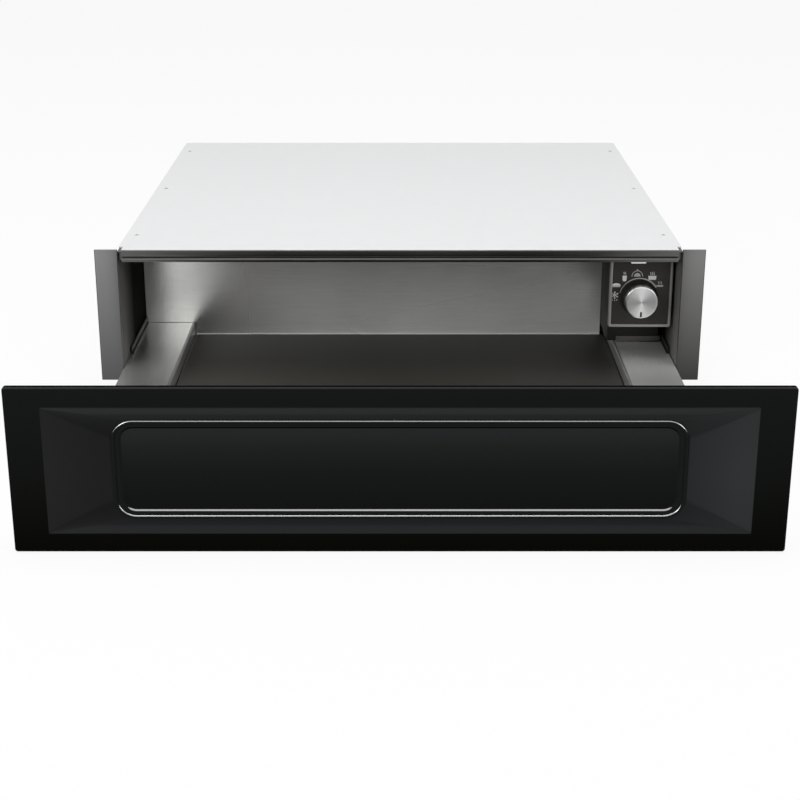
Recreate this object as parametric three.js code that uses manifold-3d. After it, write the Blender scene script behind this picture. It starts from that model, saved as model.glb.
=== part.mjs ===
// Built-in warming drawer for a 560 mm kitchen niche, standing open.
//
// Millimetres, +X right, +Y into the cabinet, +Z up. While the pieces are made, Y is counted from the
// front plane of the trim columns and Z from the underside of the base. The last lines move the origin
// to the middle of that underside.

import * as THREE from 'three';
import Module from 'manifold-3d';
import { mergeVertices } from 'three/addons/utils/BufferGeometryUtils.js';

const wasm = await Module();
wasm.setup();

// ---------------------------------------------------------------- driving dimensions

const SHEET = 1; // folded steel sheet
const GAP = 0.3; // between pieces that touch
const BEND = 1.4; // centre-line radius of an ordinary fold
const BEND_STEPS = 2;

// Housing
const APPLIANCE_WIDTH = 597; // over the trim columns, and over the front panel
const WALL_INNER = 276; // half width between the side panels
const HOUSING_DEPTH = 535;
const HOUSING_TOP = 141.5;
const COLUMN_BOTTOM = 7;
const COLUMN_PLATE = 2;
const COVER_TOP = 140.7;
const RAIL_DEPTH = 14; // of the rail's top flange
const ORIGIN_Y = 268; // middle of the base

// Drawer
const TRAVEL = 353; // how far the drawer stands out of its closed place
const PANEL_FRONT = -376;
const PANEL_HEIGHT = 135.5;
const PANEL_BOTTOM = 1;
const PANEL_RIM = 6; // depth of the panel's folded rim
const PANEL_SHEET = 1.2;
const LINER_BACK = -358;
const LEDGE_OUTER = 275;
const LEDGE_TOP = 21;
const WELL_HALF = 223; // centre-line of the well's side walls
const WELL_FLOOR = 6.8;
const MAT_TOP = 8.8;
const PAN_BACK = 158;
const BACK_WALL_FRONT = 144.4;
const BACK_WALL_TOP = 104;
const BACK_WALL_RIGHT = 217;
const BACK_WALL_FOOT = 3.2; // how far the wall's foot shows in front of it
const NOTCH_LEFT = 226; // the pan's rear right corner is cut away beyond this
const NOTCH_FRONT = 81.7;

// Slides: each web is given as its distance from the middle of the drawer
const SLIDE_LENGTH = 500;
const SLIDE_REAR = 508;
const SLIDE_Z = 11;
const SLIDE_SHEET = 0.9;
const OUTER_WEB = 275.25;
const MIDDLE_WEB = 273.1;
const INNER_WEB = 266.4;
const CAGE_LENGTH = 200;
const OUTER_CAGE = { web: 274.2, tip: 269.6, halfHeight: 6.07, sheet: 0.4, ballX: 270.8, ballRadius: 0.9 };
const INNER_CAGE = { web: 272.12, tip: 268.4, halfHeight: 3.38, sheet: 0.3, ballX: 269.6, ballRadius: 0.62 };

// Control unit
const KNOB_X = 240;
const KNOB_Z = 84;
const BEZEL = { left: 210, right: 273, bottom: 53, top: 126, frame: 2.8, front: 29.5, back: 33.2 };
const FASCIA_FRONT = 31;
const FASCIA_SHEET = 2;
const LAMP = { left: 230.3, right: 246, bottom: 118.8, top: 121.8 };
const SPINDLE_RADIUS = 3;
const HOUSING_REAR = 74; // back of the control housing

// Mains connection and push latch, at the rear
const INLET = { x: 252, z: 45, hole: 10.3 };
const LATCH = { z: 51, front: 509, headFront: 501.2, bore: 3.8 };

// Worked out from the above
const WALL_OUTER = WALL_INNER + SHEET;
const COVER_BOTTOM = COVER_TOP - SHEET;
const BASE_BACK = HOUSING_DEPTH - SHEET - GAP;
const LINER_START = LINER_BACK + GAP;
const PANEL_Z = PANEL_BOTTOM + PANEL_HEIGHT / 2;
const PANEL_HALF = { width: APPLIANCE_WIDTH / 2, height: PANEL_HEIGHT / 2, radius: 2.4 };

// ---------------------------------------------------------------- materials

function finish(color, roughness, metalness) {
  return new THREE.MeshStandardMaterial({ color, roughness, metalness });
}

const MATERIALS = {
  enamel: finish(0x0d0e0e, 0.25, 0.1),
  darkPaint: finish(0x4a4947, 0.45, 0.4),
  steel: finish(0xa9a7a3, 0.35, 1),
  zinc: finish(0x9fa3a6, 0.5, 0.9),
  blackPaint: finish(0x151514, 0.6, 0.1),
  blackPlastic: finish(0x1b1a19, 0.5, 0),
  fascia: finish(0x2d2b29, 0.5, 0),
  bezel: finish(0x8b8a87, 0.4, 0.8),
  rubber: finish(0x2c2a27, 0.9, 0),
  aluminium: finish(0xc8c9ca, 0.3, 1),
  lens: finish(0xf2f2ee, 0.3, 0),
  brass: finish(0xb08d4a, 0.4, 1),
};

// ---------------------------------------------------------------- shapes and solids

// The same closed surface with its faces pointing out.
function outward(geometry) {
  const merged = positionOnly(geometry);
  const position = merged.attributes.position;
  const index = merged.index.array;
  const [a, b, c] = [new THREE.Vector3(), new THREE.Vector3(), new THREE.Vector3()];
  let volume = 0;
  for (let i = 0; i < index.length; i += 3) {
    a.fromBufferAttribute(position, index[i]);
    b.fromBufferAttribute(position, index[i + 1]);
    c.fromBufferAttribute(position, index[i + 2]);
    volume += a.dot(b.cross(c));
  }
  if (volume < 0) {
    for (let i = 0; i < index.length; i += 3) {
      [index[i + 1], index[i + 2]] = [index[i + 2], index[i + 1]];
    }
  }
  return merged;
}

function positionOnly(geometry) {
  const bare = geometry.clone();
  bare.deleteAttribute('normal');
  bare.deleteAttribute('uv');
  return mergeVertices(bare, 1e-4);
}

function solid(geometry) {
  const merged = outward(geometry);
  const mesh = new wasm.Mesh({
    numProp: 3,
    vertProperties: merged.attributes.position.array,
    triVerts: new Uint32Array(merged.index.array),
  });
  return new wasm.Manifold(mesh);
}

function geometryOf(manifold) {
  const { vertProperties, triVerts } = manifold.getMesh();
  const geometry = new THREE.BufferGeometry();
  geometry.setAttribute('position', new THREE.BufferAttribute(vertProperties, 3));
  geometry.setIndex(new THREE.BufferAttribute(triVerts, 1));
  return geometry;
}

function cut(body, ...tools) {
  return geometryOf(tools.reduce((left, tool) => left.subtract(solid(tool)), solid(body)));
}

function join(...bodies) {
  return geometryOf(bodies.slice(1).reduce((sum, body) => sum.add(solid(body)), solid(bodies[0])));
}

// A block whose first two measures may come in either order.
function blockBetween(near, far, y0, y1, z0, z1) {
  return block(Math.min(near, far), Math.max(near, far), y0, y1, z0, z1);
}

function block(x0, x1, y0, y1, z0, z1) {
  const geometry = new THREE.BoxGeometry(x1 - x0, y1 - y0, z1 - z0);
  return geometry.translate((x0 + x1) / 2, (y0 + y1) / 2, (z0 + z1) / 2);
}

// A shape drawn in X and Y, pushed from z0 to z1.
function extrudeZ(shape, z0, z1, curveSegments = 6) {
  const geometry = new THREE.ExtrudeGeometry(shape, { depth: z1 - z0, bevelEnabled: false, curveSegments });
  return geometry.translate(0, 0, z0);
}

// A shape drawn in X and Z, pushed from y0 to y1.
function extrudeY(shape, y0, y1, curveSegments = 6) {
  return extrudeZ(shape, 0, y1 - y0, curveSegments).rotateX(Math.PI / 2).translate(0, y1, 0);
}

// A shape drawn in Y and Z, pushed from x0 to x1.
function extrudeX(shape, x0, x1, curveSegments = 6) {
  const turn = new THREE.Matrix4().set(0, 0, 1, 0, 1, 0, 0, 0, 0, 1, 0, 0, 0, 0, 0, 1);
  return extrudeZ(shape, x0, x1, curveSegments).applyMatrix4(turn);
}

function roundedRect(x0, x1, y0, y1, radius) {
  const shape = new THREE.Shape();
  shape.absarc(x1 - radius, y1 - radius, radius, 0, Math.PI / 2);
  shape.absarc(x0 + radius, y1 - radius, radius, Math.PI / 2, Math.PI);
  shape.absarc(x0 + radius, y0 + radius, radius, Math.PI, 1.5 * Math.PI);
  shape.absarc(x1 - radius, y0 + radius, radius, 1.5 * Math.PI, 2 * Math.PI);
  shape.closePath();
  return shape;
}

function circle(x, y, radius) {
  return new THREE.Shape().absarc(x, y, radius, 0, 2 * Math.PI);
}

// The outline of a sheet folded along a centre line.
function folded(points, thickness = SHEET, radius = BEND) {
  const line = [];
  points.forEach(([x, y], i) => {
    const here = new THREE.Vector2(x, y);
    if (i === 0 || i === points.length - 1) {
      line.push(here);
      return;
    }
    const before = new THREE.Vector2(...points[i - 1]).sub(here).normalize();
    const after = new THREE.Vector2(...points[i + 1]).sub(here).normalize();
    const reach = radius / Math.tan(Math.acos(before.dot(after)) / 2);
    const start = here.clone().addScaledVector(before, reach);
    const end = here.clone().addScaledVector(after, reach);
    line.push(...new THREE.QuadraticBezierCurve(start, here, end).getPoints(BEND_STEPS));
  });
  const left = [];
  const right = [];
  line.forEach((point, i) => {
    const arriving = point.clone().sub(line[Math.max(i - 1, 0)]).normalize();
    const leaving = line[Math.min(i + 1, line.length - 1)].clone().sub(point).normalize();
    const along = arriving.clone().add(leaving).normalize();
    const side = new THREE.Vector2(-along.y, along.x);
    const mitre = Math.max(along.dot(arriving), along.dot(leaving));
    left.push(point.clone().addScaledVector(side, thickness / 2 / mitre));
    right.push(point.clone().addScaledVector(side, -thickness / 2 / mitre));
  });
  return new THREE.Shape([...left, ...right.reverse()]);
}

// A plain round bar along X, used as a cutting tool.
function barX(radius, x0, x1, y, z, segments = 6) {
  return extrudeX(circle(y, z, radius), x0, x1, segments);
}

// A profile of [radius, y] pairs turned round an axis along Y at (x, z).
function turnedY(profile, x, z, segments = 32) {
  const points = profile.map(([radius, y]) => new THREE.Vector2(radius, y));
  return outward(new THREE.LatheGeometry(points, segments)).translate(x, 0, z);
}

// A profile of [radius, z] pairs turned round an axis along Z at (x, y).
function turnedZ(profile, x, y, segments = 24) {
  return turnedY(profile, 0, 0, segments).rotateX(Math.PI / 2).translate(x, y, 0);
}

// A skin through a row of rings that have the same number of points, closed at both ends.
function loft(rings) {
  const count = rings[0].length;
  const positions = rings.flat();
  const index = [];
  for (let r = 0; r + 1 < rings.length; r++) {
    for (let i = 0; i < count; i++) {
      const next = (i + 1) % count;
      const [a, b] = [r * count + i, r * count + next];
      const [c, d] = [a + count, b + count];
      index.push(a, b, d, a, d, c);
    }
  }
  [rings[0], rings.at(-1)].forEach((ring, end) => {
    const middle = ring.reduce((sum, p) => sum.add(p), new THREE.Vector3()).divideScalar(count);
    positions.push(middle);
    const centre = positions.length - 1;
    const first = end * (rings.length - 1) * count;
    for (let i = 0; i < count; i++) {
      const pair = [first + i, first + ((i + 1) % count)];
      index.push(centre, ...(end ? pair : pair.reverse()));
    }
  });
  const geometry = new THREE.BufferGeometry().setFromPoints(positions);
  geometry.setIndex(index);
  return outward(geometry);
}

// A round cable along a flat route of [x, y] points at height z.
function tube(route, z, radius, sides) {
  const points = route.map(([x, y]) => new THREE.Vector3(x, y, z));
  const rings = points.map((point, i) => {
    const arriving = point.clone().sub(points[Math.max(i - 1, 0)]).normalize();
    const leaving = points[Math.min(i + 1, points.length - 1)].clone().sub(point).normalize();
    const along = arriving.clone().add(leaving).normalize();
    const across = new THREE.Vector3(-along.y, along.x, 0);
    const ring = [];
    for (let side = 0; side < sides; side++) {
      const angle = (side / sides) * 2 * Math.PI;
      const corner = point.clone().addScaledVector(across, radius * Math.cos(angle));
      corner.z += radius * Math.sin(angle);
      ring.push(corner);
    }
    return ring;
  });
  return loft(rings);
}

// One ring of a pressed sheet: a rounded rectangle round (0, z) that lies at one depth.
function pressRing({ halfWidth, halfHeight, radius, y, z, steps = 6 }) {
  const points = [];
  const corners = [[1, 1], [-1, 1], [-1, -1], [1, -1]];
  corners.forEach(([sideX, sideZ], corner) => {
    for (let step = 0; step <= steps; step++) {
      const angle = ((corner + step / steps) * Math.PI) / 2;
      const x = sideX * (halfWidth - radius) + radius * Math.cos(angle);
      points.push(new THREE.Vector3(x, y, z + sideZ * (halfHeight - radius) + radius * Math.sin(angle)));
    }
  });
  return points;
}

// ---------------------------------------------------------------- the assembly

const assembly = new THREE.Group();
assembly.name = 'warming_drawer';
const model = new THREE.Group();
model.position.y = -ORIGIN_Y;
assembly.add(model);

function piece(name, geometry, material) {
  const mesh = new THREE.Mesh(geometry, material.clone());
  mesh.name = name;
  model.add(mesh);
  return mesh;
}

// A right-hand piece and its mirror image.
function pair(name, geometry, material) {
  piece(`${name}_right`, geometry, material);
  piece(`${name}_left`, geometry, material).scale.x = -1;
}

// ---------------------------------------------------------------- housing shell

// A row of round-ended slots that lie along y, as holes for a shape.
function slotHoles(count, pitch, x, y, length, width) {
  const [halfWidth, halfLength] = [width / 2, length / 2];
  const radius = halfWidth - 0.01;
  return Array.from({ length: count }, (_, i) => {
    const middle = x + (i - (count - 1) / 2) * pitch;
    return roundedRect(middle - halfWidth, middle + halfWidth, y - halfLength, y + halfLength, radius);
  });
}

// The base: its front edge is turned up low enough for the drawer to pass, its rear edge higher.
function basePan() {
  const [front, back] = [COLUMN_PLATE + GAP, BASE_BACK];
  const [frontLip, rearLip] = [2.4, 7];
  const half = WALL_INNER - GAP;
  const lipHalf = 262;
  const edge = SHEET / 2;
  const profile = folded([
    [front + edge, frontLip],
    [front + edge, edge],
    [back - edge, edge],
    [back - edge, rearLip],
  ]);
  const floor = block(-half, half, front + 2 * BEND, back - 2 * BEND, 0, SHEET);
  const tray = join(floor, extrudeX(profile, -lipHalf, lipHalf));
  const vents = [-150, 150].flatMap((x) => {
    return slotHoles(5, 12, x, 500, 24, 5).map((hole) => extrudeZ(hole, -SHEET, 2 * SHEET, 1));
  });
  return cut(tray, ...vents);
}

function sidePanel() {
  const wall = WALL_INNER + SHEET / 2;
  const flange = 12;
  const bottom = SHEET + GAP + SHEET / 2;
  const top = COVER_BOTTOM - GAP - SHEET / 2;
  const profile = folded([[wall - flange, bottom], [wall, bottom], [wall, top], [wall - flange, top]]);
  const shell = extrudeY(profile, COLUMN_PLATE + GAP, BASE_BACK);
  const vents = slotHoles(6, 14, 368, 78, 36, 5).map((hole) => {
    return extrudeX(hole, WALL_INNER - SHEET, WALL_OUTER + SHEET, 1);
  });
  return cut(shell, ...vents);
}

function rearPanel() {
  const plate = roundedRect(-WALL_OUTER, WALL_OUTER, 0, COVER_BOTTOM - GAP, 2);
  plate.holes.push(...[-140, 80].flatMap((x) => slotHoles(5, 18, x, 85, 46, 7)));
  const sheet = extrudeY(plate, HOUSING_DEPTH - SHEET, HOUSING_DEPTH, 1);
  const back = HOUSING_DEPTH + SHEET;
  return cut(sheet, extrudeY(circle(INLET.x, INLET.z, INLET.hole), back - 3 * SHEET, back, 16));
}

// The plain top, which starts just behind the rail.
function topCover() {
  const plate = roundedRect(-WALL_OUTER, WALL_OUTER, RAIL_DEPTH + 2 * GAP, HOUSING_DEPTH, 2);
  return extrudeZ(plate, COVER_BOTTOM, COVER_TOP, 1);
}

// The rail over the mouth: a plain face, a groove, and a rounded lip below it.
function frontRail() {
  const face = SHEET / 2;
  const top = HOUSING_TOP - SHEET / 2;
  const groove = { y: 5, top: 135.2, bottom: 132.4 };
  const lip = { back: 12, z: 129.4 };
  const half = 272;
  const profile = folded(
    [[RAIL_DEPTH, top], [face, top], [face, groove.top], [groove.y, groove.top], [groove.y, groove.bottom],
      [face, groove.bottom], [face, lip.z], [lip.back, lip.z]],
    SHEET,
    0.9,
  );
  const rail = extrudeX(profile, -half, half);
  // Tabs that reach the side panels, and the roots that hold them to the rail
  const ends = [-1, 1].flatMap((side) => [
    blockBetween(side * (half - 1), side * (WALL_INNER - GAP), 7, 8, 128.9, 137.5),
    blockBetween(side * (half - 6), side * (half - 0.5), 4.6, 8, 129.2, 134),
  ]);
  return join(rail, ...ends);
}

// A column that covers the cabinet's side edge: a hemmed front plate with a lip behind it.
function trimColumn() {
  const outer = APPLIANCE_WIDTH / 2;
  const hem = COLUMN_PLATE / 2;
  const lip = WALL_OUTER + GAP;
  const [lipBack, lipTop] = [22, 136];
  const outline = new THREE.Shape();
  outline.moveTo(WALL_INNER, 0.5);
  outline.quadraticCurveTo(WALL_INNER, 0, WALL_INNER + 0.5, 0);
  outline.lineTo(outer - hem, 0);
  outline.absarc(outer - hem, hem, hem, -Math.PI / 2, Math.PI / 2);
  outline.lineTo(lip + SHEET, COLUMN_PLATE);
  outline.lineTo(lip + SHEET, lipBack);
  outline.lineTo(lip, lipBack);
  outline.lineTo(lip, COLUMN_PLATE);
  outline.lineTo(WALL_INNER, COLUMN_PLATE);
  outline.closePath();
  const column = extrudeZ(outline, COLUMN_BOTTOM, HOUSING_TOP, 4);
  const aboveLip = block(lip - 1, lip + SHEET + 1, COLUMN_PLATE + GAP, lipBack + 1, lipTop, HOUSING_TOP + 1);
  const screwHoles = [35, 112].map((z) => barX(1.8, lip - 1, lip + SHEET + 1, 13, z));
  return cut(column, aboveLip, ...screwHoles);
}

piece('base_pan', basePan(), MATERIALS.zinc);
pair('side_panel', sidePanel(), MATERIALS.darkPaint);
piece('rear_panel', rearPanel(), MATERIALS.zinc);
piece('top_cover', topCover(), MATERIALS.zinc);
piece('front_rail', frontRail(), MATERIALS.darkPaint);
pair('trim_column', trimColumn(), MATERIALS.darkPaint);

// ---------------------------------------------------------------- heating, in the base

function heatReflector() {
  const half = 215;
  const sheet = 0.6;
  const floor = SHEET + GAP + sheet / 2;
  const profile = folded([[-half, 4.4], [-half, floor], [half, floor], [half, 4.4]], sheet, 0.8);
  return extrudeY(profile, 40, 488);
}

// A heating cable laid to and fro over the reflector, with both ends at the rear right.
function heatingElement() {
  const radius = 1.1;
  const z = 3.5;
  const rows = 8;
  const pitch = 50;
  const half = 178;
  const bulge = 20; // how far a turn reaches beyond the straight runs
  const returnX = half + 22; // the run that comes back to the rear
  const firstY = 80;
  const turnSteps = 5;
  const route = [[returnX, firstY + rows * pitch], [returnX, firstY + pitch / 2]];
  for (let step = 1; step <= turnSteps; step++) {
    const angle = (step / turnSteps) * (Math.PI / 2);
    const x = half + (returnX - half) * Math.cos(angle);
    route.push([x, firstY + (pitch / 2) * (1 - Math.sin(angle))]);
  }
  for (let row = 0; row < rows; row++) {
    const side = row % 2 ? 1 : -1;
    const y = firstY + row * pitch;
    route.push([side * half, y]);
    if (row === rows - 1) break;
    for (let step = 1; step < turnSteps; step++) {
      const angle = (step / turnSteps) * Math.PI;
      route.push([side * (half + bulge * Math.sin(angle)), y + (pitch / 2) * (1 - Math.cos(angle))]);
    }
    route.push([side * half, y + pitch]);
  }
  return tube(route, z, radius, 5);
}

function thermalCutout() {
  const [x, y] = [120, 522.3];
  const can = turnedZ([[0, 1.3], [9.3, 1.3], [9.3, 2.3], [8, 2.3], [8, 9], [7, 10], [0, 10]], x, y);
  const tabs = [-4, 4].map((side) => block(x + side - 1.6, x + side + 1.6, y - 0.4, y + 0.4, 9, 17));
  return join(can, ...tabs);
}

piece('heat_reflector', heatReflector(), MATERIALS.aluminium);
piece('heating_element', heatingElement(), MATERIALS.rubber);
piece('thermal_cutout', thermalCutout(), MATERIALS.blackPlastic);

// ---------------------------------------------------------------- mains connection, rear right

function connectionBox() {
  const [left, right, front, back, bottom, top] = [229, 274, 442, BASE_BACK - GAP, 24, 126];
  const walls = [left + SHEET, right - SHEET, front + SHEET, back + 5, bottom + SHEET, top - SHEET];
  const wireHole = extrudeY(circle(267, 115, 5), front - SHEET, front + 2 * SHEET, 4);
  return cut(block(left, right, front, back, bottom, top), block(...walls), wireHole);
}

function terminalBlock() {
  const outline = new THREE.Shape();
  const [poles, width, left, front, back, chamfer] = [3, 10, 236, 500, 517, 1.5];
  outline.moveTo(left, front);
  outline.lineTo(left + poles * width, front);
  for (let pole = poles; pole > 0; pole--) {
    const right = left + pole * width;
    outline.lineTo(right, back - 2 * chamfer);
    outline.lineTo(right - chamfer, back);
    outline.lineTo(right - width + chamfer, back);
    outline.lineTo(right - width, back - 2 * chamfer);
  }
  outline.closePath();
  const body = extrudeZ(outline, 62, 80);
  const screws = Array.from({ length: poles }, (_, i) => {
    return extrudeZ(circle(left + (i + 0.5) * width, 508, 2.4), 74, 82, 4);
  });
  return cut(body, ...screws);
}

function cableInlet() {
  const bore = 4.2;
  const barrel = INLET.hole - GAP;
  const back = HOUSING_DEPTH;
  return turnedY(
    [[bore, back - 8], [barrel, back - 8], [barrel, back + GAP], [14, back + GAP], [14, back + 3],
      [11, back + 5], [9.5, back + 12], [7, back + 14], [bore, back + 14], [bore, back - 8]],
    INLET.x,
    INLET.z,
    16,
  );
}

function wiringDuct() {
  const [wall, side, bottom, top] = [WALL_INNER - GAP, 264, 106.5, 123.5];
  const profile = folded([[wall, bottom], [side, bottom], [side, top], [wall, top]]);
  return extrudeY(profile, HOUSING_REAR + 2, 441);
}

piece('connection_box', connectionBox(), MATERIALS.zinc);
piece('terminal_block', terminalBlock(), MATERIALS.blackPlastic);
piece('cable_inlet', cableInlet(), MATERIALS.blackPlastic);
piece('wiring_duct', wiringDuct(), MATERIALS.blackPlastic);

// ---------------------------------------------------------------- control unit

function controlHousing() {
  const [front, back, wall] = [BEZEL.back + GAP, HOUSING_REAR, 1.2];
  const [left, right, bottom, top] = [BEZEL.left + 1.5, BEZEL.right - 0.5, BEZEL.bottom + 1.5, 127.5];
  const sleeve = roundedRect(left, right, bottom, top, 3);
  sleeve.holes.push(roundedRect(left + wall, right - wall, bottom + wall, top - wall, 1.8));
  const backPlate = roundedRect(left, right, bottom, top, 3);
  backPlate.holes.push(circle(KNOB_X + 22, 112, 4));
  const tabs = [62, 112].map((z) => block(right - 1, WALL_INNER - GAP, 44, 68, z, z + 1.5));
  return join(extrudeY(sleeve, front, back, 2), extrudeY(backPlate, back - wall, back, 2), ...tabs);
}

function controlBezel() {
  const { left, right, bottom, top, frame, front, back } = BEZEL;
  const soft = 0.5;
  const outline = roundedRect(left + soft, right - soft, bottom + soft, top - soft, 1.5);
  const inner = frame - soft;
  outline.holes.push(roundedRect(left + inner, right - inner, bottom + inner, top - inner, 1));
  const bevel = { bevelEnabled: true, bevelThickness: soft, bevelSize: soft, bevelSegments: 1 };
  const options = { depth: back - front - 2 * soft, curveSegments: 2, ...bevel };
  return new THREE.ExtrudeGeometry(outline, options).rotateX(Math.PI / 2).translate(0, back - soft, 0);
}

function controlFascia() {
  const inset = BEZEL.frame + GAP;
  const [left, right] = [BEZEL.left + inset, BEZEL.right - inset];
  const plate = roundedRect(left, right, BEZEL.bottom + inset, BEZEL.top - inset, 1);
  plate.holes.push(circle(KNOB_X, KNOB_Z, SPINDLE_RADIUS + 1.6));
  plate.holes.push(roundedRect(LAMP.left, LAMP.right, LAMP.bottom, LAMP.top, 1));
  return extrudeY(plate, FASCIA_FRONT, FASCIA_FRONT + FASCIA_SHEET, 4);
}

function pilotLampLens() {
  const { left, right, bottom, top } = LAMP;
  const window = roundedRect(left + GAP, right - GAP, bottom + GAP, top - GAP, 0.9);
  const collar = roundedRect(left - 1.5, right + 1.5, bottom - 1.5, top + 1.2, 1);
  const behind = FASCIA_FRONT + FASCIA_SHEET + GAP;
  return join(
    extrudeY(window, FASCIA_FRONT - 0.4, behind + 1, 3),
    extrudeY(collar, behind, behind + 4, 2),
  );
}

// The regulator behind the fascia, with the bearing that the spindle turns in.
function thermostat() {
  const can = turnedY(
    [[0, 36], [9, 36], [9, 40], [19, 40], [19, 41.5], [17, 41.5], [17, 60], [0, 60]],
    KNOB_X,
    KNOB_Z,
    20,
  );
  const strap = block(KNOB_X - 6, KNOB_X + 6, 40, 41.5, KNOB_Z - 24, KNOB_Z + 24);
  const spades = [-8, 8].map((side) => {
    return block(KNOB_X + side - 3, KNOB_X + side + 3, 59, 68, KNOB_Z - 0.4, KNOB_Z + 0.4);
  });
  const bore = extrudeY(circle(KNOB_X, KNOB_Z, SPINDLE_RADIUS + GAP), 30, 50, 5);
  return cut(join(can, strap, ...spades), bore);
}

function knobSpindle() {
  const [front, back, radius] = [16.4, 49.6, SPINDLE_RADIUS];
  const profile = [[0, front], [radius - 0.4, front], [radius, front + 0.4], [radius, back], [0, back]];
  const rod = turnedY(profile, KNOB_X, KNOB_Z, 20);
  const flat = block(KNOB_X - 4, KNOB_X + 4, front - 1, 28, KNOB_Z + 1.6, KNOB_Z + 5);
  return cut(rod, flat);
}

// The black knob body: a hub round the spindle inside a skirt that flares to the dial ring.
function knobBody() {
  const [front, back, bore] = [14.5, 29.4, SPINDLE_RADIUS + GAP];
  const seat = [[0, front], [15.1, front], [15.1, 20.3]];
  const flare = [[16.2, 20.3], [16.4, 23], [17.2, 25.5], [18.6, 27.6], [18.6, back]];
  const inside = [[17.4, back], [15.4, 26], [14, 18]];
  const hub = [[5.6, 18], [5.6, back], [bore, back], [bore, 16.1], [0, 16.1]];
  return turnedY([...seat, ...flare, ...inside, ...hub], KNOB_X, KNOB_Z, 32);
}

// The aluminium cap, with its pointer mark sunk into the face at six o'clock.
function knobCap() {
  const mark = { halfWidth: 1, outer: 15.2, inner: 9.6, depth: 1 };
  const shell = turnedY(
    [[0, 12.25], [12.5, 12.1], [15.6, 12], [16.5, 12.8], [16.5, 20], [15.4, 20], [15.4, 14.2], [0, 14.2]],
    KNOB_X,
    KNOB_Z,
    48,
  );
  const { halfWidth, outer, inner, depth } = mark;
  const slot = roundedRect(KNOB_X - halfWidth, KNOB_X + halfWidth, KNOB_Z - outer, KNOB_Z - inner, 0.9);
  return cut(shell, extrudeY(slot, 10, 12 + depth, 3));
}

piece('control_housing', controlHousing(), MATERIALS.blackPlastic);
piece('control_bezel', controlBezel(), MATERIALS.bezel);
piece('control_fascia', controlFascia(), MATERIALS.fascia);
piece('pilot_lamp_lens', pilotLampLens(), MATERIALS.lens);
piece('thermostat', thermostat(), MATERIALS.zinc);
piece('knob_spindle', knobSpindle(), MATERIALS.brass);
piece('knob_body', knobBody(), MATERIALS.blackPlastic);
piece('knob_cap', knobCap(), MATERIALS.aluminium);

// ---------------------------------------------------------------- push latch

function latchHousing() {
  const back = BASE_BACK - GAP;
  const outline = roundedRect(-14, 14, LATCH.z - 11, LATCH.z + 11, 4);
  const body = extrudeY(outline, LATCH.front, back, 3);
  const ears = extrudeY(roundedRect(-24, 24, LATCH.z - 7, LATCH.z + 7, 6), back - 3, back, 3);
  const screwHoles = [-19, 19].map((x) => extrudeY(circle(x, LATCH.z, 2), back - 5, back + 2, 4));
  const bore = extrudeY(circle(0, LATCH.z, LATCH.bore), LATCH.front - 2, 529, 6);
  return cut(join(body, ears), bore, ...screwHoles);
}

function latchPlunger() {
  const [front, back, stem] = [LATCH.headFront, 525, LATCH.bore - GAP];
  return turnedY(
    [[0, front], [5, front], [6, front + 1], [6, front + 3], [stem, front + 3], [stem, back], [0, back]],
    0,
    LATCH.z,
    20,
  );
}

piece('latch_housing', latchHousing(), MATERIALS.blackPlastic);
piece('latch_plunger', latchPlunger(), MATERIALS.rubber);

// ---------------------------------------------------------------- telescopic slides

// A channel lying on its side: its web stands at one x and its lips reach to another.
function slideProfile(web, tip, halfHeight, hook) {
  const lip = halfHeight - SLIDE_SHEET / 2;
  const inward = Math.sign(tip - web);
  const half = [[web, SLIDE_Z + lip], [tip, SLIDE_Z + lip]];
  if (hook) half.push([tip + inward * hook, SLIDE_Z + lip - hook]);
  const mirrored = half.map(([x, z]) => [x, 2 * SLIDE_Z - z]);
  return folded([...half.reverse(), ...mirrored], SLIDE_SHEET, 0.7);
}

// A member of a slide at its place with the drawer open, with its fixing holes.
function slideMember(profile, web, shift, holeRadius = 2) {
  const back = SLIDE_REAR - shift;
  const front = back - SLIDE_LENGTH;
  const rail = extrudeY(profile, front, back);
  const holes = [40, 168, 332, 460].map((along) => {
    return barX(holeRadius, web - 2, web + 2, front + along, SLIDE_Z, 4);
  });
  return cut(rail, ...holes);
}

// A ball cage: a thin channel with a row of balls held in each lip.
function ballCage({ web, tip, halfHeight, sheet, ballX, ballRadius, shift }) {
  const back = (SLIDE_REAR + 8 + CAGE_LENGTH) / 2 - shift;
  const lip = halfHeight;
  const profile = folded(
    [[tip, SLIDE_Z + lip], [web, SLIDE_Z + lip], [web, SLIDE_Z - lip], [tip, SLIDE_Z - lip]],
    sheet,
    0.5,
  );
  const strip = extrudeY(profile, back - CAGE_LENGTH, back);
  const balls = [];
  for (const along of [16, CAGE_LENGTH / 2, CAGE_LENGTH - 16]) {
    for (const side of [-1, 1]) {
      const ball = new THREE.IcosahedronGeometry(ballRadius);
      balls.push(ball.translate(ballX, back - along, SLIDE_Z + side * lip));
    }
  }
  return join(strip, ...balls);
}

pair('slide_outer', slideMember(slideProfile(OUTER_WEB, 269, 8, 0.7), OUTER_WEB, 0), MATERIALS.zinc);
pair(
  'slide_middle',
  slideMember(slideProfile(MIDDLE_WEB, 267.7, 5.05, 0), MIDDLE_WEB, TRAVEL / 2),
  MATERIALS.zinc,
);
pair(
  'slide_inner',
  slideMember(slideProfile(INNER_WEB, 271.2, 2.6, 0), INNER_WEB, TRAVEL, 1.3),
  MATERIALS.zinc,
);
pair('ball_cage_outer', ballCage({ ...OUTER_CAGE, shift: TRAVEL / 4 }), MATERIALS.brass);
pair('ball_cage_inner', ballCage({ ...INNER_CAGE, shift: (TRAVEL * 3) / 4 }), MATERIALS.brass);

// ---------------------------------------------------------------- drawer front

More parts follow.
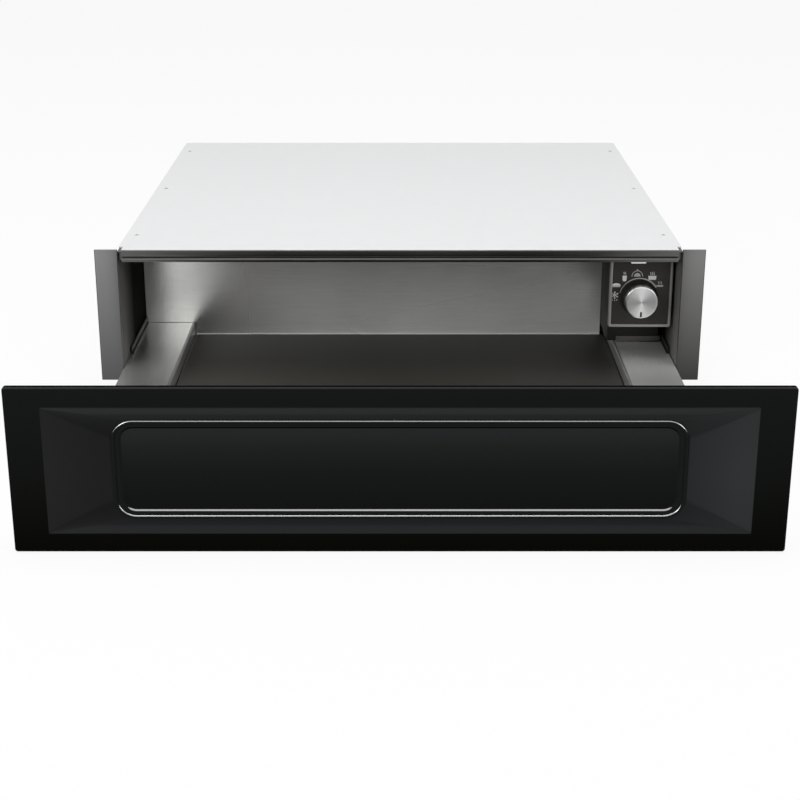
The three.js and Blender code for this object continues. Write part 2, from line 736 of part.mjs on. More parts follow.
// The front panel is one pressed sheet. From the rim inwards: a flat border, a bevel that runs from a
// square-cornered outline to a round-cornered one, a half-round bead, a flat channel, and a sunk pad whose
// face is slightly crowned.
function frontPanel() {
  const edge = 1.6; // rounding of the panel's own edge
  const border = { side: 28, top: 16 };
  const bevelDepth = 3.8;
  const bead = { halfWidth: 219.6, halfHeight: 40.6, radius: 17, width: 2.8 };
  const step = { inset: 5.4, width: 2, depth: 1.4 }; // from the bead's outside down to the pad
  const padInset = step.inset + step.width;
  const padDepth = bevelDepth + step.depth;
  const crown = { rise: 0.9, insets: [24, 14, 6] };
  const rings = [];
  const at = (halfWidth, halfHeight, radius, depth) => {
    rings.push(pressRing({ halfWidth, halfHeight, radius, y: PANEL_FRONT + depth, z: PANEL_Z }));
  };
  const beadAt = (inset, depth) => {
    const radius = Math.max(bead.radius - inset, 0.6);
    at(bead.halfWidth - inset, bead.halfHeight - inset, radius, depth);
  };
  const crownAt = (inset, behind) => {
    const toMiddle = inset / (bead.halfHeight - padInset);
    beadAt(padInset + inset, padDepth - crown.rise * (1 - (1 - toMiddle) ** 2) + behind);
  };
  const panelAt = (inset, depth) => {
    const radius = Math.max(PANEL_HALF.radius - inset, 0.6);
    at(PANEL_HALF.width - inset, PANEL_HALF.height - inset, radius, depth);
  };

  // Show face, from the middle of the pad out to the rim
  crown.insets.forEach((inset) => crownAt(inset, 0));
  for (let i = 0; i <= 5; i++) {
    const share = i / 5;
    const drop = step.depth * (1 + Math.cos(share * Math.PI)) / 2;
    beadAt(padInset - share * step.width, bevelDepth + drop);
  }
  beadAt(bead.width, bevelDepth);
  for (let i = 1; i < 6; i++) {
    const angle = (i / 6) * Math.PI;
    const half = bead.width / 2;
    beadAt(half * (1 + Math.cos(angle)), bevelDepth - half * Math.sin(angle));
  }
  beadAt(0, bevelDepth);
  const bevelHalf = [PANEL_HALF.width - border.side, PANEL_HALF.height - border.top];
  at(bevelHalf[0] - 0.6, bevelHalf[1] - 0.6, 0.6, 0.25);
  at(bevelHalf[0] + 0.4, bevelHalf[1] + 0.4, 0.9, 0);
  for (let i = 0; i <= 3; i++) {
    const angle = (i / 3) * (Math.PI / 2);
    panelAt(edge * (1 - Math.sin(angle)), edge * (1 - Math.cos(angle)));
  }
  panelAt(0, PANEL_RIM);

  // Back of the sheet, from the rim in to the middle of the pad
  panelAt(PANEL_SHEET, PANEL_RIM);
  panelAt(PANEL_SHEET, PANEL_SHEET + 0.8);
  panelAt(PANEL_SHEET + 0.8, PANEL_SHEET);
  at(bevelHalf[0], bevelHalf[1], 0.8, PANEL_SHEET);
  beadAt(0, bevelDepth + PANEL_SHEET);
  beadAt(step.inset, bevelDepth + PANEL_SHEET);
  crownAt(0, PANEL_SHEET);
  crown.insets.toReversed().forEach((inset) => crownAt(inset, PANEL_SHEET));
  return loft(rings);
}

// The inner front closes the panel's back: a shallow tray with a pressed field for stiffness.
function innerFront() {
  const [halfWidth, halfHeight, radius, front] = [285, 63, 5, PANEL_FRONT + 6.8];
  const [middle, edge, field, step] = [68, 1.8, 20, 1.6];
  const rings = [];
  const at = (inset, y) => {
    const corner = Math.max(radius - inset, 1.2) + (inset >= field ? 6 : 0);
    const size = { halfWidth: halfWidth - inset, halfHeight: halfHeight - inset, radius: corner };
    rings.push(pressRing({ ...size, y, z: middle, steps: 3 }));
  };
  at(field + 4, LINER_BACK - step);
  at(field, LINER_BACK);
  at(edge, LINER_BACK);
  at(edge * 0.3, LINER_BACK - edge * 0.3);
  at(0, LINER_BACK - edge);
  at(0, front);
  at(SHEET, front);
  at(SHEET, LINER_BACK - edge);
  at(edge, LINER_BACK - SHEET);
  at(field, LINER_BACK - SHEET);
  at(field + 4, LINER_BACK - step - SHEET);
  return loft(rings);
}

// A bumper that meets the trim column when the drawer is pushed home.
function closingBumper() {
  const start = LINER_START;
  return turnedY([[0, start], [4, start], [4, start + 1.8], [3, start + 3], [0, start + 3]], 280, 108, 16);
}

// Joins the inner front to the runner bracket.
function frontBracket() {
  const [start, sheet, web] = [LINER_START, 1.2, 263.2];
  const corner = start + sheet / 2;
  const plan = folded([[228, corner], [web, corner], [web, start + 62]], sheet, 2);
  const bracket = extrudeZ(plan, 4, 18.2);
  const screwHoles = [236, 250].map((x) => extrudeY(circle(x, SLIDE_Z, 1.8), start - 2, start + 3, 4));
  const rivetHoles = [24, 48].map((along) => barX(1.8, web - 2, web + 2, start + along, SLIDE_Z, 4));
  return cut(bracket, ...screwHoles, ...rivetHoles);
}

piece('front_panel', frontPanel(), MATERIALS.enamel);
piece('inner_front', innerFront(), MATERIALS.darkPaint);
pair('closing_bumper', closingBumper(), MATERIALS.rubber);
pair('front_bracket', frontBracket(), MATERIALS.zinc);

// ---------------------------------------------------------------- drawer body

// The pan: a well between two ledges, with the rear right corner cut away and turned up at the cut.
function drawerPan() {
  const front = LINER_START;
  const [ledge, floor, upstandTop] = [LEDGE_TOP - SHEET / 2, WELL_FLOOR - SHEET / 2, 26.6];
  const half = [[WELL_HALF, floor], [WELL_HALF, ledge], [LEDGE_OUTER, ledge]];
  const mirrored = half.map(([x, z]) => [-x, z]).reverse();
  const sheet = extrudeY(folded([...mirrored, ...half], SHEET, 2), front, PAN_BACK);
  const notch = block(NOTCH_LEFT, LEDGE_OUTER + 5, NOTCH_FRONT, PAN_BACK + 5, 0, 40);
  const frontWall = block(-WELL_HALF, WELL_HALF, front, front + SHEET, floor, LEDGE_TOP);
  const turn = NOTCH_FRONT - SHEET / 2;
  const upstand = folded([[turn - 3.5, ledge], [turn, ledge], [turn, upstandTop]]);
  return join(cut(sheet, notch), frontWall, extrudeX(upstand, WELL_HALF + 3, 272));
}

function nonSlipMat() {
  const clear = SHEET / 2 + GAP;
  const half = WELL_HALF - clear - BEND;
  const back = BACK_WALL_FRONT - BACK_WALL_FOOT - GAP;
  const outline = roundedRect(-half, half, LINER_START + SHEET + GAP, back, 2.5);
  return extrudeZ(outline, WELL_FLOOR + GAP, MAT_TOP, 3);
}

// The back wall stands on the well floor on a narrow foot; its top is folded to the rear and down.
function backWall() {
  const y = BACK_WALL_FRONT + SHEET / 2;
  const foot = WELL_FLOOR + GAP + SHEET / 2;
  const top = BACK_WALL_TOP - SHEET / 2;
  const [flange, hem] = [10, 8];
  const profile = folded([
    [BACK_WALL_FRONT - BACK_WALL_FOOT, foot],
    [y, foot],
    [y, top],
    [y + flange, top],
    [y + flange, top - hem],
  ]);
  const wall = extrudeX(profile, -LEDGE_OUTER, BACK_WALL_RIGHT);
  const overLedge = block(-LEDGE_OUTER - 5, -WELL_HALF + 1.6, y - 9, y + 20, 0, LEDGE_TOP + GAP);
  return cut(wall, overLedge);
}

// Black guard round the cut-away corner.
function cornerGuard() {
  const side = BACK_WALL_RIGHT + GAP + SHEET / 2;
  const front = NOTCH_FRONT + GAP + SHEET / 2;
  const bottom = LEDGE_TOP + GAP;
  const back = BACK_WALL_FRONT + 12;
  const walls = folded([[side, back], [side, front], [270, front]]);
  const foot = block(side - SHEET / 2, NOTCH_LEFT - 0.5, front + 3, back, bottom, bottom + SHEET);
  return join(extrudeZ(walls, bottom, BACK_WALL_TOP - 3), foot);
}

// A thin strip on the ledge that keeps plates off the housing's side: a low wall on a narrow foot.
function sideGuard(back) {
  const [front, wall, footWidth, footHeight, height] = [39, 1.2, 2.4, 1, 7.1];
  const bottom = LEDGE_TOP + GAP;
  const inner = LEDGE_OUTER - wall;
  const outline = new THREE.Shape();
  outline.moveTo(LEDGE_OUTER, bottom);
  outline.lineTo(LEDGE_OUTER, bottom + height - wall / 2);
  outline.absarc(LEDGE_OUTER - wall / 2, bottom + height - wall / 2, wall / 2, 0, Math.PI);
  outline.lineTo(inner, bottom + footHeight);
  outline.lineTo(LEDGE_OUTER - footWidth, bottom + footHeight);
  outline.lineTo(LEDGE_OUTER - footWidth, bottom);
  outline.closePath();
  return extrudeY(outline, front, back, 4);
}

// An angle under the ledge that carries the slide's inner member.
function runnerBracket() {
  const under = LEDGE_TOP - SHEET - GAP - SHEET / 2;
  const web = INNER_WEB - SLIDE_SHEET / 2 - GAP - SHEET / 2;
  const profile = folded([[252, under], [web, under], [web, 3.4]]);
  const angle = extrudeY(profile, -340, PAN_BACK - 4);
  const slots = [-230, -120, -10, 100].map((y) => {
    return extrudeX(roundedRect(y - 30, y + 30, SLIDE_Z - 4, SLIDE_Z + 4, 3.9), web - 3, web + 3, 1);
  });
  return cut(angle, ...slots);
}

function latchStriker() {
  const start = BACK_WALL_FRONT + SHEET + GAP;
  const plate = extrudeY(roundedRect(-16, 16, LATCH.z - 10, LATCH.z + 10, 3), start, start + 2, 2);
  const head = [[0, start + 1], [2.6, start + 1], [2.6, start + 2.6], [1.6, start + 3.2], [0, start + 3.2]];
  const heads = [-11, 11].map((x) => turnedY(head, x, LATCH.z, 10));
  return join(plate, ...heads);
}

piece('drawer_pan', drawerPan(), MATERIALS.steel);
piece('nonslip_mat', nonSlipMat(), MATERIALS.rubber);
piece('back_wall', backWall(), MATERIALS.steel);
piece('corner_guard', cornerGuard(), MATERIALS.blackPaint);
piece('side_guard_right', sideGuard(NOTCH_FRONT - 2), MATERIALS.blackPlastic);
piece('side_guard_left', sideGuard(BACK_WALL_FRONT - GAP), MATERIALS.blackPlastic).scale.x = -1;
pair('runner_bracket', runnerBracket(), MATERIALS.zinc);
piece('latch_striker', latchStriker(), MATERIALS.zinc);

export default assembly;
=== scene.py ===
"""Built-in warming drawer, standing open: finishes, fine meshes, small fasteners, light and camera."""

import math

import bmesh
import bpy
from mathutils import Euler, Matrix, Vector


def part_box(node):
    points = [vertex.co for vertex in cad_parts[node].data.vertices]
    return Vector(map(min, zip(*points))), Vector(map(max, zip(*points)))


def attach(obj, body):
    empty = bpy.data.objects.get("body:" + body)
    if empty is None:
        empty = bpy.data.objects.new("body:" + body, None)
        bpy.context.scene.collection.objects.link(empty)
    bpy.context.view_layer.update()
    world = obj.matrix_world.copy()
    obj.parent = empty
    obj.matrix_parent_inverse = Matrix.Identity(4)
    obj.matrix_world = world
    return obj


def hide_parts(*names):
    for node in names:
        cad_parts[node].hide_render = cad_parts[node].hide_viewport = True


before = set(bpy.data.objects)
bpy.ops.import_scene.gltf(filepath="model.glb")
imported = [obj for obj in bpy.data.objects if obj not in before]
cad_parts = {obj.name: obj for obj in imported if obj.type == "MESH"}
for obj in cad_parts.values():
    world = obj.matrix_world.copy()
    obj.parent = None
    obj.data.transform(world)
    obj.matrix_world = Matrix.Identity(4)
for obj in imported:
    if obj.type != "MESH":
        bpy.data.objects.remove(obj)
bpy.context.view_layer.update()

MM = 0.001
SIDES = ((-1, "left"), (1, "right"))  # sign of X, and name

# ---------------------------------------------------------------- places taken from the frame


def low(node):
    return Vector(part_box(node)[0])


def high(node):
    return Vector(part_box(node)[1])


def extent(node):
    return low(node), high(node)


def middle(node):
    return (low(node) + high(node)) / 2


FRONT_PLANE = low("trim_column_right").y  # front of the trim columns
FASCIA_FACE = low("control_fascia").y
KNOB = middle("knob_cap")
FRONT_CENTRE = middle("front_panel")
PANEL_LOW, PANEL_HIGH = low("front_panel").z, high("front_panel").z
BACK_LEFT, BACK_RIGHT = low("back_wall").x, high("back_wall").x
BACK_FOOT = low("back_wall").y

# Sizes that finishes and meshes share
SHEET = 1 * MM
BORDER_X, BORDER_Z = 28 * MM, 16 * MM  # flat border of the front, beside its bevel and above it
GUARD_FRONT = FRONT_PLANE + 78 * MM  # front of the corner guard, under the control unit

# ---------------------------------------------------------------- materials

NOISE_LOW, NOISE_HIGH = 0.3, 0.7  # where most values of a noise lie
UNEVENNESS = 0.04  # how much noise shifts a graded colour
FINE_BUMP = 0.03 * MM


def add_node(tree, kind, inputs, output=0, **settings):
    """Adds a shader node whose inputs take values or other nodes' outputs. Returns one of its outputs."""
    node = tree.nodes.new(f"ShaderNode{kind}")
    for name, setting in settings.items():
        setattr(node, name, setting)
    for socket, value in inputs.items():
        if isinstance(value, bpy.types.NodeSocket):
            tree.links.new(value, node.inputs[socket])
        else:
            node.inputs[socket].default_value = value
    return node.outputs[output]


def greys(*pairs, blue=1.0):
    """Stops of a colour ramp from (share, grey) pairs. With less blue they are warm."""
    return [(share, (grey, grey, grey * blue)) for share, grey in pairs]


FINISHES = {}  # materials by name


class Finish:
    """A procedural material: a Principled shader and the node chains that the finishes share."""

    def __init__(self, name, color, roughness, metallic=0.0, **sockets):
        material = bpy.data.materials.new(name)
        material.use_nodes = True
        FINISHES[name] = material
        self.tree = material.node_tree
        self.shader = self.tree.nodes["Principled BSDF"]
        self.color = color
        self.place = self.add("TexCoord", {}, "Object")
        self.bumps = None
        sockets.update(Base_Color=(*color, 1), Roughness=roughness, Metallic=metallic)
        for socket, value in sockets.items():
            self.shader.inputs[socket.replace("_", " ")].default_value = value

    def add(self, kind, inputs, output=0, **settings):
        return add_node(self.tree, kind, inputs, output, **settings)

    def into(self, socket, source):
        """Links an output to one of the shader's sockets."""
        self.tree.links.new(source, self.shader.inputs[socket])

    def scaled(self, stretch):
        """The place on the object, multiplied along each axis."""
        return self.add("Mapping", {"Vector": self.place, "Scale": stretch})

    def noise(self, stretch, detail=3.0, rough=0.55):
        inputs = {"Vector": self.scaled(stretch), "Scale": 1.0, "Detail": detail, "Roughness": rough}
        return self.add("TexNoise", inputs)

    def cloud(self):
        """Slow noise, for uneven tone and gloss."""
        return self.noise((9, 9, 9), detail=2)

    def part(self, vector, axis):
        """The X, Y or Z of a vector, for an axis of 0, 1 or 2."""
        return self.add("SeparateXYZ", {0: vector}, axis)

    def size_of(self, number):
        return self.add("Math", {0: number}, operation="ABSOLUTE")

    def ranged(self, source, from_low, from_high, to_low=0, to_high=1):
        limits = {"From Min": from_low, "From Max": from_high, "To Min": to_low, "To Max": to_high}
        return self.add("MapRange", {"Value": source, **limits})

    def ramp(self, source, stops, interpolation="LINEAR"):
        """Colours at shares of the source, given as (share, colour) pairs."""
        output = self.add("ValToRGB", {"Fac": source})
        output.node.color_ramp.interpolation = interpolation
        elements = output.node.color_ramp.elements
        elements[0].position, elements[1].position = stops[0][0], stops[-1][0]
        for share, _ in stops[1:-1]:
            elements.new(share)
        for element, (_, color) in zip(elements, stops):
            element.color = (*color, 1)
        return output

    def tinted(self, source, darker, lighter):
        """The finish's colour, between two factors as a noise goes over its usual range."""
        stops = []
        for share, factor in ((NOISE_LOW, darker), (NOISE_HIGH, lighter)):
            stops.append((share, [min(c * factor, 1) for c in self.color]))
        return self.ramp(source, stops)

    def graded(self, axis, start, end, stops, interpolation="LINEAR"):
        """A colour that changes slowly along one axis of the object, a little unevenly."""
        share = self.ranged(self.part(self.place, axis), start, end)
        uneven = self.add("Math", {0: self.cloud(), 1: UNEVENNESS, 2: share}, operation="MULTIPLY_ADD")
        return self.ramp(uneven, stops, interpolation)

    def mixed(self, share, first, second, blend="MIX"):
        """Two colours mixed by a share, which may be a number."""
        factor, color_a, color_b, color_out = 0, 6, 7, 2  # the colour sockets among those of all data types
        inputs = {factor: share, color_a: first, color_b: second}
        return self.add("Mix", inputs, color_out, data_type="RGBA", blend_type=blend)

    def times(self, first, second):
        return self.mixed(1.0, first, second, "MULTIPLY")

    def vary_roughness(self, source, lowest, highest):
        self.into("Roughness", self.ranged(source, NOISE_LOW, NOISE_HIGH, lowest, highest))

    def bump(self, source, strength, distance=FINE_BUMP):
        """Adds a bump on top of the earlier ones."""
        inputs = {"Strength": strength, "Distance": distance, "Height": source}
        if self.bumps:
            inputs["Normal"] = self.bumps
        self.bumps = self.add("Bump", inputs)
        self.into("Normal", self.bumps)

    def orange_peel(self, cloud, roughness, grain=1400, depth=0.25):
        """A fine uneven surface, whose gloss follows the cloud."""
        self.vary_roughness(cloud, roughness - 0.03, roughness + 0.04)
        self.bump(self.noise((grain,) * 3, detail=2), depth)


def brushed(name, color, roughness, along, depth=0.25, metallic=1.0, grade=None, painted_reflection=None):
    """Brushed metal: fine scratches along one axis, slow smears in its gloss, and faint cloudy patches.
    `grade` goes to Finish.graded for a painted sheen over its colour, and the last argument for a
    painted reflection: how far it mirrors like bare metal along the object."""
    scratches, smears = [900] * 3, [7.0] * 3
    scratches[along], smears[along] = 26, 1.2
    steel = Finish(name, color, roughness, metallic)
    streaks = steel.noise(scratches, detail=4, rough=0.65)
    patches = steel.ramp(steel.noise((13, 13, 13), detail=4, rough=0.6), greys((0.3, 0.9), (0.65, 1)))
    tone = steel.times(steel.tinted(streaks, 0.92, 1.03), patches)
    # A painted sheen over the colour
    if grade:
        tone = steel.times(tone, steel.graded(*grade, interpolation="B_SPLINE"))
    # A painted reflection: the metal mirrors more in some places along the object
    if painted_reflection:
        steel.into("Metallic", steel.graded(*painted_reflection, interpolation="B_SPLINE"))
    steel.into("Base Color", tone)
    steel.vary_roughness(steel.noise(smears, detail=2), roughness - 0.04, roughness + 0.05)
    steel.bump(streaks, depth, 0.02 * MM)


def painted(name, color, roughness, grain=1400, depth=0.25, specular=0.5, metallic=0.0, grade=None):
    """Paint, enamel or moulded plastic: fine orange peel, cloudy colour and gloss. `grade` goes to
    Finish.graded, for a colour that changes along the object."""
    paint = Finish(name, color, roughness, metallic, Specular_IOR_Level=specular)
    cloud = paint.cloud()
    paint.into("Base Color", paint.graded(*grade) if grade else paint.tinted(cloud, 0.92, 1.08))
    paint.orange_peel(cloud, roughness, grain, depth)


def side_paint_and_shade(name, color, roughness, specular):
    """Side panels: painted shade inside the mouth, dark grey at the front and fading to black further in, and
    plain grey paint outside.
    """
    paint = Finish(name, color, roughness, Specular_IOR_Level=specular)
    cloud = paint.cloud()
    face = high("side_panel_right").x
    outside = paint.ranged(paint.size_of(paint.part(paint.place, 0)), face - 0.3 * MM, face - 0.2 * MM)
    grey = paint.tinted(cloud, 0.92, 1.06)
    paint.into("Base Color", paint.mixed(outside, paint.graded(*WALL_SHADING), grey))
    paint.orange_peel(cloud, roughness)


def bevel_paint_and_shade(name, color, roughness, specular):
    """Dark grey enamel on the sloping border of the front, with painted light and shade: each of its four
    sides has its own painted tone by its facing, and the cone faces between two sides are painted darker."""
    paint = Finish(name, color, roughness, Specular_IOR_Level=specular)
    tilt = paint.size_of(paint.part(paint.add("TexCoord", {}, "Normal"), 2))
    lean = paint.ranged(tilt, 0.0, 0.27)  # 0 on the end sides, 1 on the long ones
    shade = paint.ramp(lean, greys((0, 1), (0.06, 0.66), (0.5, 0.84), (0.92, 0.7), (1, 1)))
    sides = paint.mixed(lean, paint.graded(*BEVEL_ENDS_TONE_AND_SHADE), paint.graded(*BEVEL_LONG_SIDES_TONE_AND_SHADE))
    paint.into("Base Color", paint.times(sides, shade))
    paint.orange_peel(paint.cloud(), roughness, grain=500, depth=0.08)


def highlight_enamel(name, color):
    """Glassy enamel with a strong coat, put on upward-facing rounded edges only: a painted highlight."""
    coat = {"Coat_Weight": 1.0, "Coat_Roughness": 0.16, "Coat_IOR": 4.0}
    glass = Finish(name, color, 0.3, Specular_IOR_Level=0.9, **coat)
    glass.into("Base Color", glass.tinted(glass.noise((12, 12, 12), detail=2), 0.9, 1.1))
    glass.bump(glass.noise((180,) * 3, detail=2), 0.05)


def galvanised(name, color, roughness, contrast=1.0, metallic=1.0):
    """Zinc-coated sheet with its faint crystal pattern."""
    zinc = Finish(name, color, roughness, metallic)
    crystals = zinc.add("TexVoronoi", {"Vector": zinc.scaled((120, 120, 120)), "Scale": 1.0}, "Color")
    grey = zinc.add("RGBToBW", {0: crystals})
    zinc.into("Base Color", zinc.tinted(grey, 1 - 0.1 * contrast, 1 + 0.04 * contrast))
    zinc.vary_roughness(grey, roughness - 0.05, roughness + 0.07)
    zinc.bump(zinc.noise((700, 700, 700)), 0.15, 0.02 * MM)


def turned(name, color, roughness, centre):
    """Turned aluminium: fine rings round an axis along Y with anisotropic gloss, and a painted sheen of two
    bright wedges opposite each other, fixed on the cap."""
    metal = Finish(name, color, roughness, 1.0, Anisotropic=0.75)
    offset = metal.add("VectorMath", {0: metal.place, 1: centre}, operation="SUBTRACT")
    flat = metal.add("CombineXYZ", {"X": metal.part(offset, 0), "Y": metal.part(offset, 2)})
    radius = metal.add("VectorMath", {0: flat}, "Value", operation="LENGTH")
    rings = metal.add("TexNoise", {"Scale": 5200, "Detail": 2, "W": radius}, noise_dimensions="1D")
    outward = metal.add("VectorMath", {0: flat}, operation="NORMALIZE")
    sheen = (math.cos(SHEEN), math.sin(SHEEN), 0)
    lobe = metal.add("VectorMath", {0: outward, 1: sheen}, "Value", operation="DOT_PRODUCT")
    # Painted sheen: two bright wedges, fixed on the cap
    painted_sheen = metal.ramp(metal.size_of(lobe), greys((0, 0.6), (0.5, 0.72), (0.85, 1.0), (1, 1.4)))
    metal.into("Base Color", metal.times(metal.tinted(rings, 0.92, 1.05), painted_sheen))
    metal.bump(rings, 0.3)
    metal.into("Tangent", metal.add("Tangent", {}, direction_type="UV_MAP", uv_map=TURNING_MAP))


def rubber_mat(name, color):
    """The non-slip mat: a close field of tiny pips on a dull brown-black sheet."""
    mat = Finish(name, color, 0.55, Specular_IOR_Level=0.2)
    grid = {"Vector": mat.scaled((420, 420, 420)), "Scale": 1.0, "Randomness": 0.0}
    pips = mat.add("TexVoronoi", grid, "Distance")
    # Painted light: the mat is lighter towards both sides
    mat.into("Base Color", mat.graded(*MAT_TONE_AND_SHADE))
    mat.bump(mat.ranged(pips, 0.15, 0.5, 1, 0), 0.35, 0.15 * MM)
    mat.bump(mat.noise((900, 900, 900)), 0.2, 0.04 * MM)


TURNING_MAP = "turning"  # UV map of the knob's cap
SHEEN = math.radians(96)  # direction of the painted bright wedges on the cap

# Painted light and shade that change along the object, over the finishes' own tones: axis, start, end, and
# the colours at shares of that way
BEVEL_X = high("front_panel").x - BORDER_X
BEVEL_Z = (PANEL_HIGH - PANEL_LOW) / 2 - BORDER_Z
# Painted light on the bevel's dark grey enamel: its end sides along X and its long sides along Z, each with
# its own tone, lightest at the right end and at the top
BEVEL_ENDS_TONE_AND_SHADE = (0, -BEVEL_X, BEVEL_X, [
    *greys((0, 0.018), (0.1, 0.0125)), (0.9, (0.0175, 0.019, 0.0195)), (1, (0.031, 0.033, 0.034))])
BEVEL_LONG_SIDES_TONE_AND_SHADE = (2, FRONT_CENTRE.z - BEVEL_Z, FRONT_CENTRE.z + BEVEL_Z, [
    (0, (0.021, 0.022, 0.0235)), (0.1, (0.019, 0.0195, 0.021)),
    (0.9, (0.0205, 0.0225, 0.0225)), (1, (0.0245, 0.0265, 0.0265))])
# Painted shade on the black border of the front: darker towards the bottom, lighter towards the top
BORDER_SHADING = (2, PANEL_LOW, PANEL_HIGH, [
    (0, (0.0016, 0.0019, 0.0006)), (0.5, (0.0055, 0.0062, 0.0056)), (1, (0.0082, 0.0092, 0.0092))])
# Painted light on the crowned pad: lighter towards the top, darker towards the bottom
PAD_SHADING = (2, PANEL_LOW + 36 * MM, PANEL_HIGH - 36 * MM, [
    (0, (0.0048, 0.0056, 0.0052)), (0.5, (0.0078, 0.0092, 0.0086)),
    (0.8, (0.013, 0.0145, 0.0142)), (1, (0.0195, 0.0205, 0.0212))])
# Painted shade inside the side walls and column lips: dark grey at the mouth, fading to black towards the
# corner guard
WALL_SHADING = (1, FRONT_PLANE + 24 * MM, GUARD_FRONT, [(0, (0.17, 0.166, 0.158)), (1, (0.005, 0.0046, 0.004))])
# Painted light on the trim columns: lighter towards the top, the left one lit more than the right
COLUMN_LEFT_SHADING = (2, 0, PANEL_HIGH, greys((0, 0.084), (1, 0.235)))
COLUMN_RIGHT_SHADING = (2, 0, PANEL_HIGH, [(0, (0.032, 0.033, 0.031)), (1, (0.205, 0.205, 0.203))])
# The mat's dark brown tone with painted light: lighter towards both sides, darkest in the middle
MAT_TONE_AND_SHADE = (0, -220 * MM, 220 * MM, [
    (0, (0.047, 0.044, 0.039)), (0.27, (0.028, 0.0262, 0.022)), (0.5, (0.0185, 0.0174, 0.0135)),
    (0.73, (0.0225, 0.0212, 0.0175)), (1, (0.038, 0.036, 0.032))])
STEEL_BLUE = 0.992
LEDGE_START = FRONT_PLANE - 40 * MM  # where the ledges come into view behind the front
# Painted sheen on the back wall, brightest at its left end
BACK_PAINTED_SHEEN = (0, BACK_LEFT, BACK_RIGHT,
              greys((0, 1.0), (0.12, 1.0), (0.3, 0.94), (0.8, 0.95), (1, 1.0), blue=STEEL_BLUE))
# Painted reflection on the back wall: it mirrors most near its left end
BACK_PAINTED_REFLECTION = (0, BACK_LEFT, BACK_RIGHT,
               greys((0, 0.4), (0.035, 0.55), (0.09, 1.0), (0.15, 1.0), (0.22, 0.8), (0.3, 0.58),
                     (0.4, 0.47), (0.55, 0.42), (1, 0.38), blue=STEEL_BLUE))
# Painted sheen and reflection on the left ledge, lighter towards the back
LEFT_LEDGE_PAINTED_SHEEN = (1, LEDGE_START, BACK_FOOT, greys((0, 0.66), (0.45, 0.9), (1, 1.0), blue=STEEL_BLUE))
LEFT_LEDGE_PAINTED_REFLECTION = (1, LEDGE_START, BACK_FOOT, greys((0, 0.78), (0.45, 0.86), (1, 1.0), blue=STEEL_BLUE))
# Painted sheen on the right ledge, darker at the front
RIGHT_LEDGE_PAINTED_SHEEN = (1, LEDGE_START, GUARD_FRONT,
               greys((0, 0.48), (0.35, 0.8), (0.6, 1.0), (1, 1.0), blue=STEEL_BLUE))

BRIGHT_STEEL = (0.97, 0.97, 0.96)
COLUMN_GREY = (0.13, 0.13, 0.13)
EDGE_BLACK = (0.006, 0.0065, 0.0065)

# Black enamel of the border, with painted shade from the bottom up
painted("enamel_black", (0.004, 0.005, 0.005), 0.36, grain=160, depth=0.04, specular=0.015, grade=BORDER_SHADING)
# Enamel of the pad, with painted light towards the top
painted("enamel_pad", (0.014, 0.014, 0.015), 0.4, grain=160, depth=0.04, specular=0.03, grade=PAD_SHADING)
# Bevel enamel with painted light and shade by facing
bevel_paint_and_shade("enamel_bevel", (0.026, 0.0275, 0.028), 0.42, 0.04)
painted("enamel_channel", (0.0095, 0.0105, 0.0102), 0.4, grain=500, depth=0.08, specular=0.02)
# Painted shade on the downward faces of the pad's step
painted("enamel_groove", (0.0016, 0.002, 0.0018), 0.5, grain=500, depth=0.08, specular=0.01)
# Painted highlight on upward-facing edges of the step and the bead
highlight_enamel("enamel_edge", EDGE_BLACK)
# Painted highlight on the upward-facing outer rounding
painted("enamel_round", EDGE_BLACK, 0.32, grain=500, depth=0.08, specular=0.14)
painted("enamel_rim", (0.0018, 0.0018, 0.0018), 0.7, grain=900, specular=0.01)
painted("housing_paint", (0.128, 0.127, 0.125), 0.3, metallic=1.0)
# Column paint with painted light, lighter towards the top
painted("column_paint_and_shade_left", COLUMN_GREY, 0.3, metallic=1.0, grade=COLUMN_LEFT_SHADING)
painted("column_paint_and_shade_right", COLUMN_GREY, 0.3, metallic=1.0, grade=COLUMN_RIGHT_SHADING)
# Painted shade on the round outer edges of the columns
painted("column_edge_painted_shade", (0.035, 0.035, 0.035), 0.35, specular=0.3, metallic=0.6)
# Side panels: painted shade inside, plain grey paint outside
side_paint_and_shade("side_wall_paint_and_shade", (0.3, 0.305, 0.31), 0.7, 0.02)
# Column lips seen from inside: painted shade that fades to black, as on the side walls
painted("column_fold_painted_shade", (0.02, 0.02, 0.02), 0.7, specular=0.02, grade=WALL_SHADING)
painted("inner_front_paint", (0.05, 0.049, 0.047), 0.42, specular=0.4)
brushed("brushed_steel_across", BRIGHT_STEEL, 0.26, along=0, grade=BACK_PAINTED_SHEEN, painted_reflection=BACK_PAINTED_REFLECTION)
brushed("brushed_steel_along", (0.7, 0.7, 0.69), 0.32, along=1, metallic=0.82)
brushed("ledge_left_painted_sheen", BRIGHT_STEEL, 0.25, along=1, grade=LEFT_LEDGE_PAINTED_SHEEN, painted_reflection=LEFT_LEDGE_PAINTED_REFLECTION)
brushed("ledge_right_painted_sheen", BRIGHT_STEEL, 0.32, along=1, metallic=0.55, grade=RIGHT_LEDGE_PAINTED_SHEEN)
# Painted shade: the folds between the well and the ledges darker than the sheet
brushed("fold_painted_shade", (0.42, 0.42, 0.41), 0.38, along=1, metallic=0.9)
